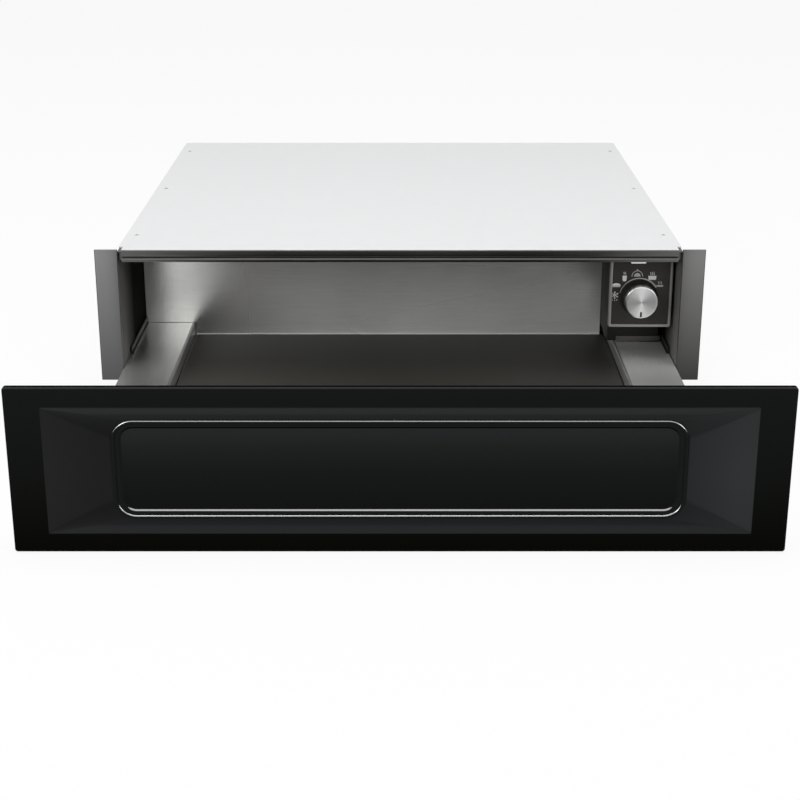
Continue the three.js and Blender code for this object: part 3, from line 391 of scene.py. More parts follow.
# Painted shade: brushed steel made dark for the well floor beside the mat and the upstand under the control
# unit
brushed("steel_painted_shade", (0.12, 0.117, 0.11), 0.36, along=0, depth=0.35)
galvanised("galvanised_sheet", (0.56, 0.57, 0.58), 0.42)
galvanised("galvanised_cover", (0.75, 0.755, 0.76), 0.6, contrast=0.15, metallic=0.15)
brushed("slide_steel", (0.6, 0.61, 0.62), 0.3, along=1, depth=0.15)
painted("black_paint", (0.0065, 0.0065, 0.0055), 0.42, specular=0.1)
painted("black_plastic", (0.017, 0.0162, 0.0145), 0.45, grain=2200, specular=0.25)
painted("fascia", (0.038, 0.034, 0.0295), 0.42, grain=2600, specular=0.3)
painted("bezel_metal", (0.34, 0.335, 0.32), 0.36, grain=1800, depth=0.1, metallic=0.4)
rubber_mat("mat_rubber", (0.028, 0.0265, 0.0245))
painted("bumper_rubber", (0.02, 0.02, 0.02), 0.7, grain=1800, specular=0.3)
painted("heater_jacket", (0.3, 0.06, 0.03), 0.5)
brushed("aluminium_sheet", (0.75, 0.76, 0.77), 0.35, along=0, depth=0.15)
turned("knob_aluminium", (0.66, 0.66, 0.66), 0.3, KNOB)
brushed("brass", (0.62, 0.44, 0.2), 0.35, along=1, depth=0.15)
painted("lamp_lens", (0.88, 0.88, 0.86), 0.25, grain=300, depth=0.05)
painted("dial_print", (0.96, 0.96, 0.94), 0.5, grain=2600, depth=0.1)
painted("dial_print_faint", (0.58, 0.58, 0.57), 0.5, grain=2600, depth=0.1)

# The pilot lamp glows behind its lens
LENS_SHADER = FINISHES["lamp_lens"].node_tree.nodes["Principled BSDF"]
LENS_SHADER.inputs["Emission Color"].default_value = (1, 1, 0.97, 1)
LENS_SHADER.inputs["Emission Strength"].default_value = 0.35


def both(*names):
    """Each name for the left side and for the right side."""
    return tuple(f"{name}_{side}" for name in names for _, side in SIDES)


NODE_FINISHES = {
    "side_wall_paint_and_shade": both("side_panel"),
    "galvanised_cover": ("top_cover",),
    "inner_front_paint": ("inner_front",),
    "galvanised_sheet": ("base_pan", "rear_panel", "connection_box", "thermostat", "latch_striker",
                         *both("runner_bracket", "front_bracket")),
    "slide_steel": both("slide_outer", "slide_middle", "slide_inner"),
    "black_paint": ("control_housing",),
    "black_plastic": ("thermal_cutout", "terminal_block", "cable_inlet", "wiring_duct", "corner_guard",
                      "latch_housing", "latch_plunger", *both("side_guard")),
    "fascia": ("control_fascia",),
    "bumper_rubber": both("closing_bumper"),
    "heater_jacket": ("heating_element",),
    "aluminium_sheet": ("heat_reflector",),
    "brass": ("knob_spindle", *both("ball_cage_outer", "ball_cage_inner")),
}

for finish, nodes in NODE_FINISHES.items():
    for node in nodes:
        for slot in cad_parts[node].material_slots:
            slot.material = FINISHES[finish]

# ---------------------------------------------------------------- mesh helpers

CREASE = 35  # edges that turn by more than these degrees stay sharp


def mesh_of(name, points, faces):
    mesh = bpy.data.meshes.new(name)
    mesh.from_pydata([tuple(p) for p in points], [], faces)
    return mesh


def new_object(name, data):
    made = bpy.data.objects.new(name, data)
    bpy.context.scene.collection.objects.link(made)
    return made


def new_piece(name, shape, finish, body, replaces=(), crease=CREASE, inner=()):
    """A piece from a shape, which is its points in metres and its faces. `inner` holds (face numbers,
    finish) for faces of another finish."""
    mesh = mesh_of(name, *shape)
    mesh.materials.append(FINISHES[finish])
    for numbers, other in inner:
        mesh.materials.append(FINISHES[other])
        for number in numbers:
            mesh.polygons[number].material_index = len(mesh.materials) - 1
    editable = bmesh.new()
    editable.from_mesh(mesh)
    bmesh.ops.recalc_face_normals(editable, faces=editable.faces)
    editable.to_mesh(mesh)
    editable.free()
    return dress(name, mesh, body, replaces, crease)


def dress(name, mesh, body, replaces=(), crease=CREASE):
    """Makes a mesh a piece that rides on a body."""
    smooth(mesh, crease)
    mesh.update()
    piece = new_object(name, mesh)
    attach(piece, body)
    if replaces:
        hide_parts(*replaces)
    return piece


def smooth(mesh, crease):
    mesh.polygons.foreach_set("use_smooth", [True] * len(mesh.polygons))
    mesh.set_sharp_from_angle(angle=math.radians(crease))


def sheet_faces(shape, test):
    """Numbers of a shape's faces, but for the two caps, whose points pass a test."""
    points, faces = shape
    return [number for number, face in enumerate(faces[:-2]) if test([points[k] for k in face])]


def skin(rings, closed=False):
    """Shape of a skin through rings with equal point counts, capped at both ends unless closed."""
    count = len(rings[0])
    points = [p for ring in rings for p in ring]
    faces = []
    for r in range(len(rings) if closed else len(rings) - 1):
        start, after = r * count, (r + 1) % len(rings) * count
        for i in range(count):
            j = (i + 1) % count
            faces.append((start + i, start + j, after + j, after + i))
    if not closed:
        faces.append(tuple(range(count)))
        faces.append(tuple(range(len(points) - 1, len(points) - count - 1, -1)))
    return points, faces


def corner_ring(half_x, half_z, radius, place, steps=12):
    """A rounded rectangle in the X-Z plane round a centre point."""
    ring = []
    for corner, (side_x, side_z) in enumerate(((1, 1), (-1, 1), (-1, -1), (1, -1))):
        for step in range(steps + 1):
            angle = (corner + step / steps) * math.pi / 2
            x = side_x * (half_x - radius) + radius * math.cos(angle)
            z = side_z * (half_z - radius) + radius * math.sin(angle)
            ring.append(Vector((place.x + x, place.y, place.z + z)))
    return ring


def turned_rings(profile, centre, segments=96):
    """Rings of a profile of (radius, y) pairs round an axis along Y through the centre."""
    turns = [2 * math.pi * i / segments for i in range(segments)]
    return [[Vector((centre.x + radius * math.cos(t), y, centre.z + radius * math.sin(t))) for t in turns]
            for radius, y in profile]


def folded(points, thickness, radius, steps=6):
    """The outline of a sheet folded along a centre line of (u, v) pairs."""
    line = []
    for i, point in enumerate(points):
        here = Vector(point)
        if i in (0, len(points) - 1):
            line.append(here)
            continue
        before = (Vector(points[i - 1]) - here).normalized()
        after = (Vector(points[i + 1]) - here).normalized()
        reach = radius / math.tan(before.angle(after) / 2)
        start, end = here + before * reach, here + after * reach
        for step in range(steps + 1):
            t = step / steps
            line.append(start * (1 - t) ** 2 + here * 2 * t * (1 - t) + end * t * t)
    left, right = [], []
    for i, point in enumerate(line):
        arriving = (point - line[i - 1]).normalized() if i else None
        leaving = (line[i + 1] - point).normalized() if i + 1 < len(line) else None
        along = ((arriving or leaving) + (leaving or arriving)).normalized()
        side = Vector((-along.y, along.x))
        mitre = along.dot(arriving or leaving)
        left.append(point + side * (thickness / 2 / mitre))
        right.append(point - side * (thickness / 2 / mitre))
    return left + right[::-1]


def prism(outline, place, start, end):
    """Shape of an outline of (u, v) pairs pushed from start to end; `place` makes its points."""
    return skin([[place(u, v, w) for u, v in outline] for w in (start, end)])


def along_x(u, v, w):
    return Vector((w, u, v))


def along_y(u, v, w):
    return Vector((u, w, v))


def along_z(u, v, w):
    return Vector((u, v, w))


def cut_box(piece, corner_low, corner_high):
    """Takes a box out of a piece."""
    size = [b - a for a, b in zip(corner_low, corner_high)]
    centre = [(a + b) / 2 for a, b in zip(corner_low, corner_high)]
    tool = bpy.data.meshes.new("tool")
    shape = bmesh.new()
    bmesh.ops.create_cube(shape, size=1, matrix=Matrix.Translation(centre) @ Matrix.Diagonal((*size, 1)))
    shape.to_mesh(tool)
    shape.free()
    cut_with(piece, tool)


def cut_with(piece, tool_mesh):
    """Takes a closed mesh out of a piece."""
    tool = new_object("tool", tool_mesh)
    modifier = piece.modifiers.new("cut", "BOOLEAN")
    modifier.operation = "DIFFERENCE"
    modifier.solver = "EXACT"
    modifier.object = tool
    bpy.context.view_layer.update()
    evaluated = piece.evaluated_get(bpy.context.evaluated_depsgraph_get())
    piece.data = bpy.data.meshes.new_from_object(evaluated)
    piece.modifiers.clear()
    smooth(piece.data, CREASE)
    bpy.data.objects.remove(tool)


BEYOND = 10 * MM  # how far a cutting box reaches past what it cuts

# ---------------------------------------------------------------- drawer front


def front_panel_skin():
    """The pressed front, from the middle of its crowned pad out over the rim and back in behind the sheet."""
    lo, hi = extent("front_panel")
    front = lo.y
    half_x, half_z = (hi.x - lo.x) / 2, (hi.z - lo.z) / 2
    bead_x, bead_z, bead_radius = 219.6 * MM, 40.6 * MM, 17 * MM
    bead_width, bevel_depth = 2.8 * MM, 3.8 * MM
    step_inset, step_width, step_depth = 5.4 * MM, 2 * MM, 1.4 * MM
    pad_inset, pad_depth = step_inset + step_width, bevel_depth + step_depth
    crown_rise, crown_insets = 0.9 * MM, [n * MM for n in (28, 24, 20, 16, 12.5, 9, 6, 3.5, 1.5)]
    # Insets and depths at the bevel's outer fold, in mm
    fold_rings = ((0.9, 0.3), (0.5, 0.14), (0.1, 0.05), (-0.4, 0))
    corner_radius, least_radius, edge, sheet, rim = 2.4 * MM, 0.6 * MM, 1.6 * MM, 1.2 * MM, 6 * MM
    step_count, bead_count, edge_count, corner_steps = 12, 16, 8, 16
    # Upward-facing faces of the step, the bead and the outer rounding get a glossier enamel than the rest, so
    # that highlight lines show there: a painted highlight
    step_finish, bead_finish = ("edge", 0.58, "channel"), ("edge", 0.3, "channel")
    round_finish = ("round", 0.3, "black")
    groove_facing = -0.45  # faces of the step that look further down than this get painted shade, the darker groove enamel
    rings, finishes = [], []

    def at(x, z, radius, depth, finish):
        """Adds a ring; the faces between it and the ring before take its enamel finish. A finish of three
        parts has a gloss finish, the least upward slope at which that starts, and the finish below that."""
        place = Vector((FRONT_CENTRE.x, front + depth, FRONT_CENTRE.z))
        rings.append(corner_ring(x, z, radius, place, corner_steps))
        finishes.append(finish)

    def bead_at(inset, depth, finish):
        at(bead_x - inset, bead_z - inset, max(bead_radius - inset, least_radius), depth, finish)

    def crown_at(inset, behind, finish):
        to_middle = inset / (bead_z - pad_inset)
        bead_at(pad_inset + inset, pad_depth - crown_rise * (1 - (1 - to_middle) ** 2) + behind, finish)

    def panel_at(inset, depth, finish):
        at(half_x - inset, half_z - inset, max(corner_radius - inset, least_radius), depth, finish)

    for inset in crown_insets + [0]:
        crown_at(inset, 0, "pad")
    for step in range(1, step_count + 1):
        share = step / step_count
        fall = step_depth * (1 + math.cos(share * math.pi)) / 2
        bead_at(pad_inset - share * step_width, bevel_depth + fall, step_finish)
    step_rings = len(rings) - 1
    bead_at(bead_width + 0.25 * MM, bevel_depth, "channel")
    for step in range(bead_count + 1):
        angle = math.pi * step / bead_count
        half = bead_width / 2
        bead_at(half * (1 + math.cos(angle)), bevel_depth - half * math.sin(angle), bead_finish)
    bead_at(-0.25 * MM, bevel_depth - 0.02 * MM, bead_finish)
    ridge_ring = len(rings) - 1
    bevel_x, bevel_z = half_x - BORDER_X, half_z - BORDER_Z
    for inset, depth in fold_rings:
        at(bevel_x - inset * MM, bevel_z - inset * MM, 0.9 * MM, depth * MM, "bevel")
    for step in range(edge_count + 1):
        angle = math.pi / 2 * step / edge_count
        finish = round_finish if step else "black"
        panel_at(edge * (1 - math.sin(angle)), edge * (1 - math.cos(angle)), finish)
    panel_at(0, rim - 0.3 * MM, "rim")
    panel_at(0.3 * MM, rim, "rim")
    panel_at(sheet, rim, "rim")
    panel_at(sheet, sheet + 0.8 * MM, "rim")
    panel_at(sheet + 0.8 * MM, sheet, "rim")
    at(bevel_x, bevel_z, 0.8 * MM, sheet, "rim")
    bead_at(0, bevel_depth + sheet, "rim")
    bead_at(step_inset, bevel_depth + sheet, "rim")
    for inset in [0] + crown_insets[::-2]:
        crown_at(inset, sheet - 0.02 * MM, "rim")

    points, faces = skin(rings)
    per_ring = len(rings[0])
    groups = {}
    for number, face in enumerate(faces):
        ring = min(number // per_ring + 1, len(rings) - 1)
        finish = "pad" if number == len(faces) - 2 else finishes[ring]
        if not isinstance(finish, str):
            corners = [points[k] for k in face[:3]]
            slope = (corners[1] - corners[0]).cross(corners[2] - corners[0]).normalized()
            facing = slope if slope.y < 0 else -slope
            gloss, least, plain = finish
            finish = gloss if facing.z >= least else plain
            if facing.z < groove_facing and plain == "channel" and ring <= step_rings:
                finish = "groove"
        groups.setdefault(finish, []).append(number)
    inner = [(numbers, f"enamel_{finish}") for finish, numbers in groups.items() if finish != "black"]
    panel = new_piece("front_panel_skin", (points, faces), "enamel_black", "drawer",
                      ("front_panel",), crease=40, inner=inner)
    # Folds between the flat sides of the bevel and the cones at its corners
    ends = [corner * (corner_steps + 1) + step for corner in range(4) for step in (0, corner_steps)]
    folds = {(ridge_ring * per_ring + i, (ridge_ring + 1) * per_ring + i) for i in ends}
    for line in panel.data.edges:
        if tuple(sorted(line.vertices)) in folds:
            line.use_edge_sharp = True


front_panel_skin()

# ---------------------------------------------------------------- drawer body


def pan_skin():
    """The folded pan with its notch, from the same heights as the frame's pan."""
    lo, hi = extent("drawer_pan")
    well, ledge, floor = 223 * MM, 20.5 * MM, lo.z + SHEET / 2
    fold, notch_fold = 2 * MM, 1.4 * MM
    fold_end = 225 * MM  # where the ledge's flat part starts, with room for rounding on both sides of it
    inside, outside = fold_end - 0.1 * MM, fold_end + 0.2 * MM
    half = [(well, floor), (well, ledge), (hi.x, ledge)]
    line = [(-x, z) for x, z in reversed(half)] + half
    shape = prism(folded(line, SHEET, fold), along_y, lo.y, hi.y)
    left = sheet_faces(shape, lambda face: max(p.x for p in face) < -inside)
    right = sheet_faces(shape, lambda face: min(p.x for p in face) > inside)
    # The well floor beside the mat gets painted shade
    floors = sheet_faces(shape, lambda face: max(p.z for p in face) < lo.z + 2.6 * MM)
    upper = sheet_faces(shape, lambda face: min(p.z for p in face) > ledge - 2.4 * MM)
    near = sheet_faces(shape, lambda face: max(abs(p.x) for p in face) < outside)
    # The folds get painted shade
    folds = [number for number in upper if number in near and number not in left + right]
    # The ledges get painted sheen along their length
    inner = [(left, "ledge_left_painted_sheen"), (right, "ledge_right_painted_sheen"), (floors, "steel_painted_shade"),
             (folds, "fold_painted_shade")]
    pan = new_piece("drawer_pan_skin", shape, "brushed_steel_along", "drawer",
                    ("drawer_pan",), inner=inner)
    notch_x, notch_y, upstand_end = 226 * MM, FRONT_PLANE + 81.7 * MM, 272 * MM
    cut_box(pan, (notch_x, notch_y, -BEYOND), (hi.x + BEYOND, hi.y + BEYOND, 50 * MM))
    # Turned-up edge at the notch, dark steel with painted shade
    line = [(notch_y - 4 * MM, ledge), (notch_y - SHEET / 2, ledge), (notch_y - SHEET / 2, hi.z)]
    shape = prism(folded(line, SHEET, notch_fold), along_x, notch_x, upstand_end)
    new_piece("pan_upstand", shape, "steel_painted_shade", "drawer")
    # Front wall of the well
    line = [(-well, floor), (well, floor), (well, ledge), (-well, ledge)]
    shape = prism(line, along_y, lo.y + 0.02 * MM, lo.y + SHEET)
    new_piece("pan_front_wall", shape, "brushed_steel_across", "drawer")


def back_wall_skin():
    """The back wall with its foot on the pan and its folded upper edge, cut out over the left ledge."""
    lo, hi = extent("back_wall")
    foot, flange, lip, fold = 3.2 * MM, 10 * MM, 8.5 * MM, 1.4 * MM
    y = lo.y + foot + SHEET / 2
    bottom, top = lo.z + SHEET / 2, hi.z - SHEET / 2
    line = [(lo.y, bottom), (y, bottom), (y, top), (y + flange, top), (y + flange, hi.z - lip)]
    shape = prism(folded(line, SHEET, fold), along_x, lo.x, hi.x)
    wall = new_piece("back_wall_skin", shape, "brushed_steel_across", "drawer",
                     ("back_wall",))
    well_side, ledge_top = -221.4 * MM, 21.3 * MM
    cut_box(wall, (lo.x - BEYOND, lo.y - BEYOND, -BEYOND), (well_side, hi.y + BEYOND, ledge_top))


def mat_skin():
    """The mat, with rounded corners and a soft upper edge."""
    lo, hi = extent("nonslip_mat")
    centre = middle("nonslip_mat")
    half_x, half_y = (hi.x - lo.x) / 2, (hi.y - lo.y) / 2
    rings = []
    for inset, z in ((0, lo.z), (0, hi.z - 0.5 * MM), (0.15 * MM, hi.z - 0.15 * MM), (0.5 * MM, hi.z)):
        flat = corner_ring(half_x - inset, half_y - inset, 3 * MM - inset, Vector((centre.x, 0, centre.y)))
        rings.append([Vector((p.x, p.z, z)) for p in flat])
    new_piece("nonslip_mat_sheet", skin(rings), "mat_rubber", "drawer", ("nonslip_mat",))


pan_skin()
back_wall_skin()
mat_skin()

# ---------------------------------------------------------------- housing front


def rail_skin():
    """The folded front rail with its groove and lower lip, and a small tab at each end."""
    lo, hi = extent("front_rail")
    face, groove, top = lo.y + SHEET / 2, lo.y + 5 * MM, hi.z - SHEET / 2
    groove_top, groove_bottom, lip = 135.2 * MM, 132.4 * MM, 129.4 * MM
    half, fold = 272 * MM, 0.9 * MM
    line = [(lo.y + 14 * MM, top), (face, top), (face, groove_top), (groove, groove_top),
            (groove, groove_bottom), (face, groove_bottom), (face, lip), (lo.y + 12 * MM, lip)]
    shape = prism(folded(line, SHEET, fold), along_x, -half, half)
    flange = sheet_faces(shape, lambda face: min(p.z for p in face) > hi.z - 0.25 * MM)
    new_piece("front_rail_skin", shape, "housing_paint", "housing", ("front_rail",),
              inner=[(flange, "galvanised_cover")])
    tab_y, tab_low, tab_high, tab_lap, tab_fold = lo.y + 7.5 * MM, 129.5 * MM, 137.5 * MM, 4 * MM, 0.5 * MM
    for sign, side in SIDES:
        line = [(sign * (half - tab_lap), tab_y), (sign * hi.x, tab_y)]
        shape = prism(folded(line, SHEET, tab_fold), along_z, tab_low, tab_high)
        new_piece(f"rail_tab_{side}", shape, "housing_paint", "housing")


COLUMN_SCREWS = (35 * MM, 112 * MM)  # heights


def column_skin(sign, side):
    """A trim column: a plate with a round outer edge, and a lip behind it that is screwed to the side."""
    node = f"trim_column_{side}"
    lo, hi = extent(node)
    outer, inner = max(abs(lo.x), abs(hi.x)), min(abs(lo.x), abs(hi.x))
    front = lo.y
    plate, lip, soft = 2 * MM, inner + 1.3 * MM, 0.6 * MM
    back = front + plate
    outline = []
    for step in range(7):
        angle = math.pi + math.pi / 2 * step / 6
        outline.append((inner + soft * (1 + math.cos(angle)), front + soft * (1 + math.sin(angle))))
    for step in range(13):
        angle = -math.pi / 2 + math.pi * step / 12
        outline.append((outer - plate / 2 * (1 - math.cos(angle)), front + plate / 2 * (1 + math.sin(angle))))
    outline += [(lip + SHEET, back), (lip + SHEET, hi.y), (lip, hi.y), (lip, back), (inner, back)]
    shape = prism([(sign * x, y) for x, y in outline], along_z, lo.z, hi.z)
    # The lip gets painted shade
    fold = sheet_faces(shape, lambda face: min(p.y for p in face) > front + 1.9 * MM)
    # The round outer edge gets painted shade
    edge = sheet_faces(shape, lambda face: min(abs(p.x) for p in face) > outer - 0.95 * MM)
    piece = new_piece(f"trim_column_skin_{side}", shape, f"column_paint_and_shade_{side}", "housing",
                      (node,), inner=[(fold, "column_fold_painted_shade"), (edge, "column_edge_painted_shade")])
    lip_low, lip_high = sorted((sign * (lip - SHEET), sign * (lip + 2 * SHEET)))
    cut_box(piece, (lip_low, back + 0.3 * MM, 136 * MM), (lip_high, hi.y + BEYOND, hi.z + BEYOND))
    hole = turned_rings([(1.8 * MM, -BEYOND), (1.8 * MM, BEYOND)], Vector((0, 0, 0)), 24)
    for z in COLUMN_SCREWS:
        ends = [[Vector((sign * lip + p.y, front + 13 * MM + p.x, z + p.z)) for p in ring] for ring in hole]
        cut_with(piece, mesh_of("tool", *skin(ends)))


rail_skin()
for sign, side in SIDES:
    column_skin(sign, side)

# ---------------------------------------------------------------- control unit


def bezel_skin():
    """The frame round the fascia, with soft edges."""
    lo, hi = extent("control_bezel")
    centre, depth_all = middle("control_bezel"), hi.y - lo.y
    half_x, half_z = (hi.x - lo.x) / 2, (hi.z - lo.z) / 2
    width, soft, corner = 2.8 * MM, 0.6 * MM, 2.2 * MM
    outer = [(0, depth_all), (0, soft), (0.3 * soft, 0.3 * soft), (soft, 0)]
    rings = []
    for inset, depth in outer + [(width - inset, depth) for inset, depth in reversed(outer)]:
        place = Vector((centre.x, lo.y + depth, centre.z))
        rings.append(corner_ring(half_x - inset, half_z - inset, max(corner - inset, 0.8 * MM), place, 8))
    new_piece("bezel_frame", skin(rings, closed=True), "bezel_metal", "housing", ("control_bezel",))


def lens_skin():
    """The pilot lamp's lens bar, below the rail's lip."""
    lo, hi = extent("pilot_lamp_lens")
    half_x, half_z, corner, bar_z = 7.55 * MM, 1.2 * MM, 1.1 * MM, 120.3 * MM
    rings = []
    for inset, depth in ((0, hi.y - lo.y), (0, 0.5 * MM), (0.2 * MM, 0.15 * MM), (0.6 * MM, 0)):
        place = Vector((middle("pilot_lamp_lens").x, lo.y + depth, bar_z))
        rings.append(corner_ring(half_x - inset, half_z - inset, corner - inset, place, 8))
    new_piece("lamp_lens_bar", skin(rings), "lamp_lens", "housing", ("pilot_lamp_lens",))


def knob_profile(front, pairs):
    """A profile of (radius, y) pairs from a front, given in mm."""
    return [(radius * MM, front + y * MM) for radius, y in pairs]


def knob_skins():
    """The turned cap with its pointer notch, and the body that flares out to a foot at the fascia."""
    front = low("knob_cap").y
    profile = knob_profile(front, [
        (0.02, 0.3), (4, 0.28), (9, 0.2), (12.5, 0.08), (14.8, 0), (15.5, 0.02), (16.1, 0.35), (16.45, 0.8),
        (16.5, 1.2), (16.5, 7.6), (16.3, 7.9), (16.1, 8), (15.4, 8), (15.4, 2.2), (0.02, 2.2)])
    shape = skin(turned_rings(profile, KNOB, 128))
    cap = new_piece("knob_cap_turned", shape, "knob_aluminium", "knob", ("knob_cap",))
    notch = Vector((KNOB.x, 0, KNOB.z - 12.4 * MM))
    outline = [(p.x, p.z) for p in corner_ring(1 * MM, 2.8 * MM, 0.98 * MM, notch, 8)]
    cut_with(cap, mesh_of("tool", *prism(outline, along_y, front - 2 * MM, front + 1 * MM)))
    turning_map(cap)
    # Black fill at the bottom of the pointer notch
    outline = [(p.x, p.z) for p in corner_ring(0.97 * MM, 2.77 * MM, 0.95 * MM, notch, 8)]
    shape = prism(outline, along_y, front + 0.45 * MM, front + 0.98 * MM)
    new_piece("knob_pointer", shape, "black_plastic", "knob")
    profile = knob_profile(low("knob_body").y, [
        (0.02, 0), (14.9, 0), (15.1, 0.2), (15.1, 5.8), (16.2, 5.8), (16.25, 6.8), (16.4, 8.5), (16.7, 10),
        (17.2, 11.2), (17.9, 12.3), (18.45, 13), (18.6, 13.4), (18.6, 14.7), (18.4, 14.9), (17.4, 14.9),
        (15.4, 11.5), (14, 3.5), (5.6, 3.5), (5.6, 14.9), (3.3, 14.9), (3.3, 1.6), (0.02, 1.6)])
    shape = skin(turned_rings(profile, KNOB))
    new_piece("knob_body_turned", shape, "black_plastic", "knob", ("knob_body",))


def turning_map(piece):
    """A UV map whose U runs out from the knob's axis, for the turned sheen."""
    layer = piece.data.uv_layers.new(name=TURNING_MAP)
    for loop in piece.data.loops:
        place = piece.data.vertices[loop.vertex_index].co - KNOB
        angle = math.atan2(place.z, place.x)
        radius = math.hypot(place.x, place.z)
        layer.data[loop.index].uv = (radius / (20 * MM), angle / (2 * math.pi) + 0.5)


bezel_skin()
lens_skin()
knob_skins()

# ---------------------------------------------------------------- dial print, in mm from the knob's axis


def arc(centre, radius, start, end, steps=14):
    """Points round a centre from one angle to another, in degrees."""
    turns = [math.radians(start + (end - start) * i / steps) for i in range(steps + 1)]
    return [(centre[0] + radius * math.cos(t), centre[1] + radius * math.sin(t)) for t in turns]


def dome(x, y, reach, rise, steps):
    """Points over half an ellipse."""
    turns = [math.pi * k / steps for k in range(steps + 1)]
    return [(x + reach * math.cos(t), y + rise * math.sin(t)) for t in turns]


def ribbon(points, widths):
    """Outline of a line whose width changes along it."""
    left, right = [], []
    for i, point in enumerate(points):
        here = Vector(point)
        along = (Vector(points[min(i + 1, len(points) - 1)]) - Vector(points[max(i - 1, 0)])).normalized()
        side = Vector((-along.y, along.x)) * widths[i] / 2
        left.append(here + side)
        right.append(here - side)
    return left + right[::-1]


def line_mark(points, width):
    return ribbon(points, [width] * len(points))


def steam(x, y, count, height, pitch=1.7):
    """Wavy lines that rise from a dish."""
    marks = []
    for i in range(count):
        wave_x = x + (i - (count - 1) / 2) * pitch
        wave = [(wave_x + 0.3 * math.sin(k / 6 * math.pi * 2), y + height * (k / 6)) for k in range(7)]
        marks.append(line_mark(wave, 0.5))
    return marks


def snowflake(x, y, reach=3.9):
    """Three crossed bars with branches at their ends, over three dots."""
    marks = []
    for i in range(3):
        angle = math.radians(90 + 60 * i)
        dx, dy = reach * math.cos(angle), reach * math.sin(angle)
        marks.append(line_mark([(x - dx, y - dy), (x + dx, y + dy)], 0.85))
        for end in (-1, 1):
            tip = Vector((x + end * dx * 0.6, y + end * dy * 0.6))
            for turn in (-0.8, 0.8):
                branch = Vector((end * dx, end * dy)).normalized()
                branch.rotate(Matrix.Rotation(turn, 2))
                marks.append(line_mark([tip, tip + branch * 1.2], 0.75))
    for side, drop in ((-1, 1.1), (0, 1.6), (1, 1.1)):
        marks.append(arc((x + side * 2.3, y - reach - drop), 0.5, 0, 340, 10))
    return marks


def loaf(x, y):
    """A round loaf: a domed crust over a narrow base line."""
    return [dome(x, y - 0.6, 4.5, 2.7, 16), line_mark([(x - 4, y - 1.5), (x + 4, y - 1.5)], 0.7)]


def dish(x, y, right_half):
    """A filled outline that is the same on both sides, from its right half, bottom point first."""
    return [(x - u, y + v) for u, v in reversed(right_half)] + [(x + u, y + v) for u, v in right_half]


def beaker(x, y):
    """A tapered beaker with its steam."""
    return [dish(x, y, [(1.2, -3), (2, -1.6), (2.2, 2.9)])] + steam(x, y + 3.9, 2, 2.9, 1.5)


def cloche(x, y):
    """A domed cover over a heaped plate."""
    cover = line_mark(dome(x, y - 3.4, 5.4, 6, 18), 0.7)
    heap = dome(x, y - 3.4, 3.3, 3.8, 12)
    grip = arc((x, y + 3.4), 0.8, 0, 330, 10)
    return [cover, heap, grip]


def pot(x, y):
    """A wide pot with its steam."""
    return [dish(x, y, [(3.2, -2.1), (3.8, -1.6), (4.1, 2.1)])] + steam(x, y + 2.9, 3, 3.1)


def plate(x, y):
    """A flat plate with its steam."""
    return [dish(x, y, [(2.7, -0.8), (3.6, 0.8)])] + steam(x, y + 1.7, 3, 3, 1.5)


def print_marks(name, marks, finish):
    """A piece of thin raised prints on the fascia."""
    points, faces = [], []
    for mark in marks:
        place = [(KNOB.x + u * MM, KNOB.z + v * MM) for u, v in mark]
        mark_points, mark_faces = prism(place, along_y, FASCIA_FACE - 0.06 * MM, FASCIA_FACE + 0.01 * MM)
        faces += [tuple(number + len(points) for number in face) for face in mark_faces]
        points += mark_points
    new_piece(name, (points, faces), finish, "housing", crease=20)


def dial_print():
    """Generic pictograms round the knob, and the arc that grows from cool to hot."""
    light = snowflake(-24.3, 2.2) + loaf(-23.2, 12.6) + beaker(-15.2, 19.7) + pot(12.5, 20.3)
    print_marks("dial_print_light", light, "dial_print")
    steps = 60
    sweep = arc((0, 0), 19.7, 167, 31, steps)
    growing = ribbon(sweep, [0.6 + 1.0 * (i / steps) ** 1.2 for i in range(steps + 1)])
    print_marks("dial_print_faint", cloche(-2.6, 25.0) + plate(20.5, 11.9) + [growing], "dial_print_faint")
    print_marks("signal_opening", [arc((-11.3, 36.1), 0.9, 0, 345, 16)], "black_plastic")


dial_print()

# ---------------------------------------------------------------- small fasteners


def screw(name, place, outward, body, radius):
    """A low pan head, its cross recess shown by two black bars as painted shade, on a face whose normal is
    `outward`. The radius is in mm.
    """
    profile = ((1, 0), (1, 0.25), (0.92, 0.42), (0.7, 0.56), (0.35, 0.62))  # shares of the radius
    bar_length, bar_width, bar_depth, bar_middle = [share * radius * MM for share in (0.95, 0.16, 0.12, 0.6)]
    rings = []
    for reach, height in profile:
        flat = turned_rings([(radius * reach, radius * height)], Vector((0, 0, 0)), 24)[0]
        rings.append([Vector((p.x, p.z, p.y)) * MM for p in flat])
    mesh = mesh_of(name, *skin(rings))
    shape = bmesh.new()
    shape.from_mesh(mesh)
    bmesh.ops.recalc_face_normals(shape, faces=shape.faces)
    # Painted shade: black bars stand for the cross recess
    for angle in (0, math.pi / 2):
        lie = Matrix.Rotation(angle, 4, "Z") @ Matrix.Translation((0, 0, bar_middle))
        size = Matrix.Diagonal((bar_length, bar_width, bar_depth, 1))
        bar = bmesh.ops.create_cube(shape, size=1, matrix=lie @ size)
        for face in {f for v in bar["verts"] for f in v.link_faces}:
            face.material_index = 1
    turn = Vector(outward).to_track_quat("Z", "Y").to_matrix().to_4x4()
    bmesh.ops.transform(shape, matrix=Matrix.Translation(place) @ turn, verts=shape.verts)
    shape.to_mesh(mesh)
    shape.free()
    mesh.materials.append(FINISHES["slide_steel"])
    mesh.materials.append(FINISHES["black_plastic"])
    dress(name, mesh, body)


def screws(name, places, outward, body, radius=3.2):
    for number, place in enumerate(places, 1):
        screw(f"{name}_{number}", place, outward, body, radius)


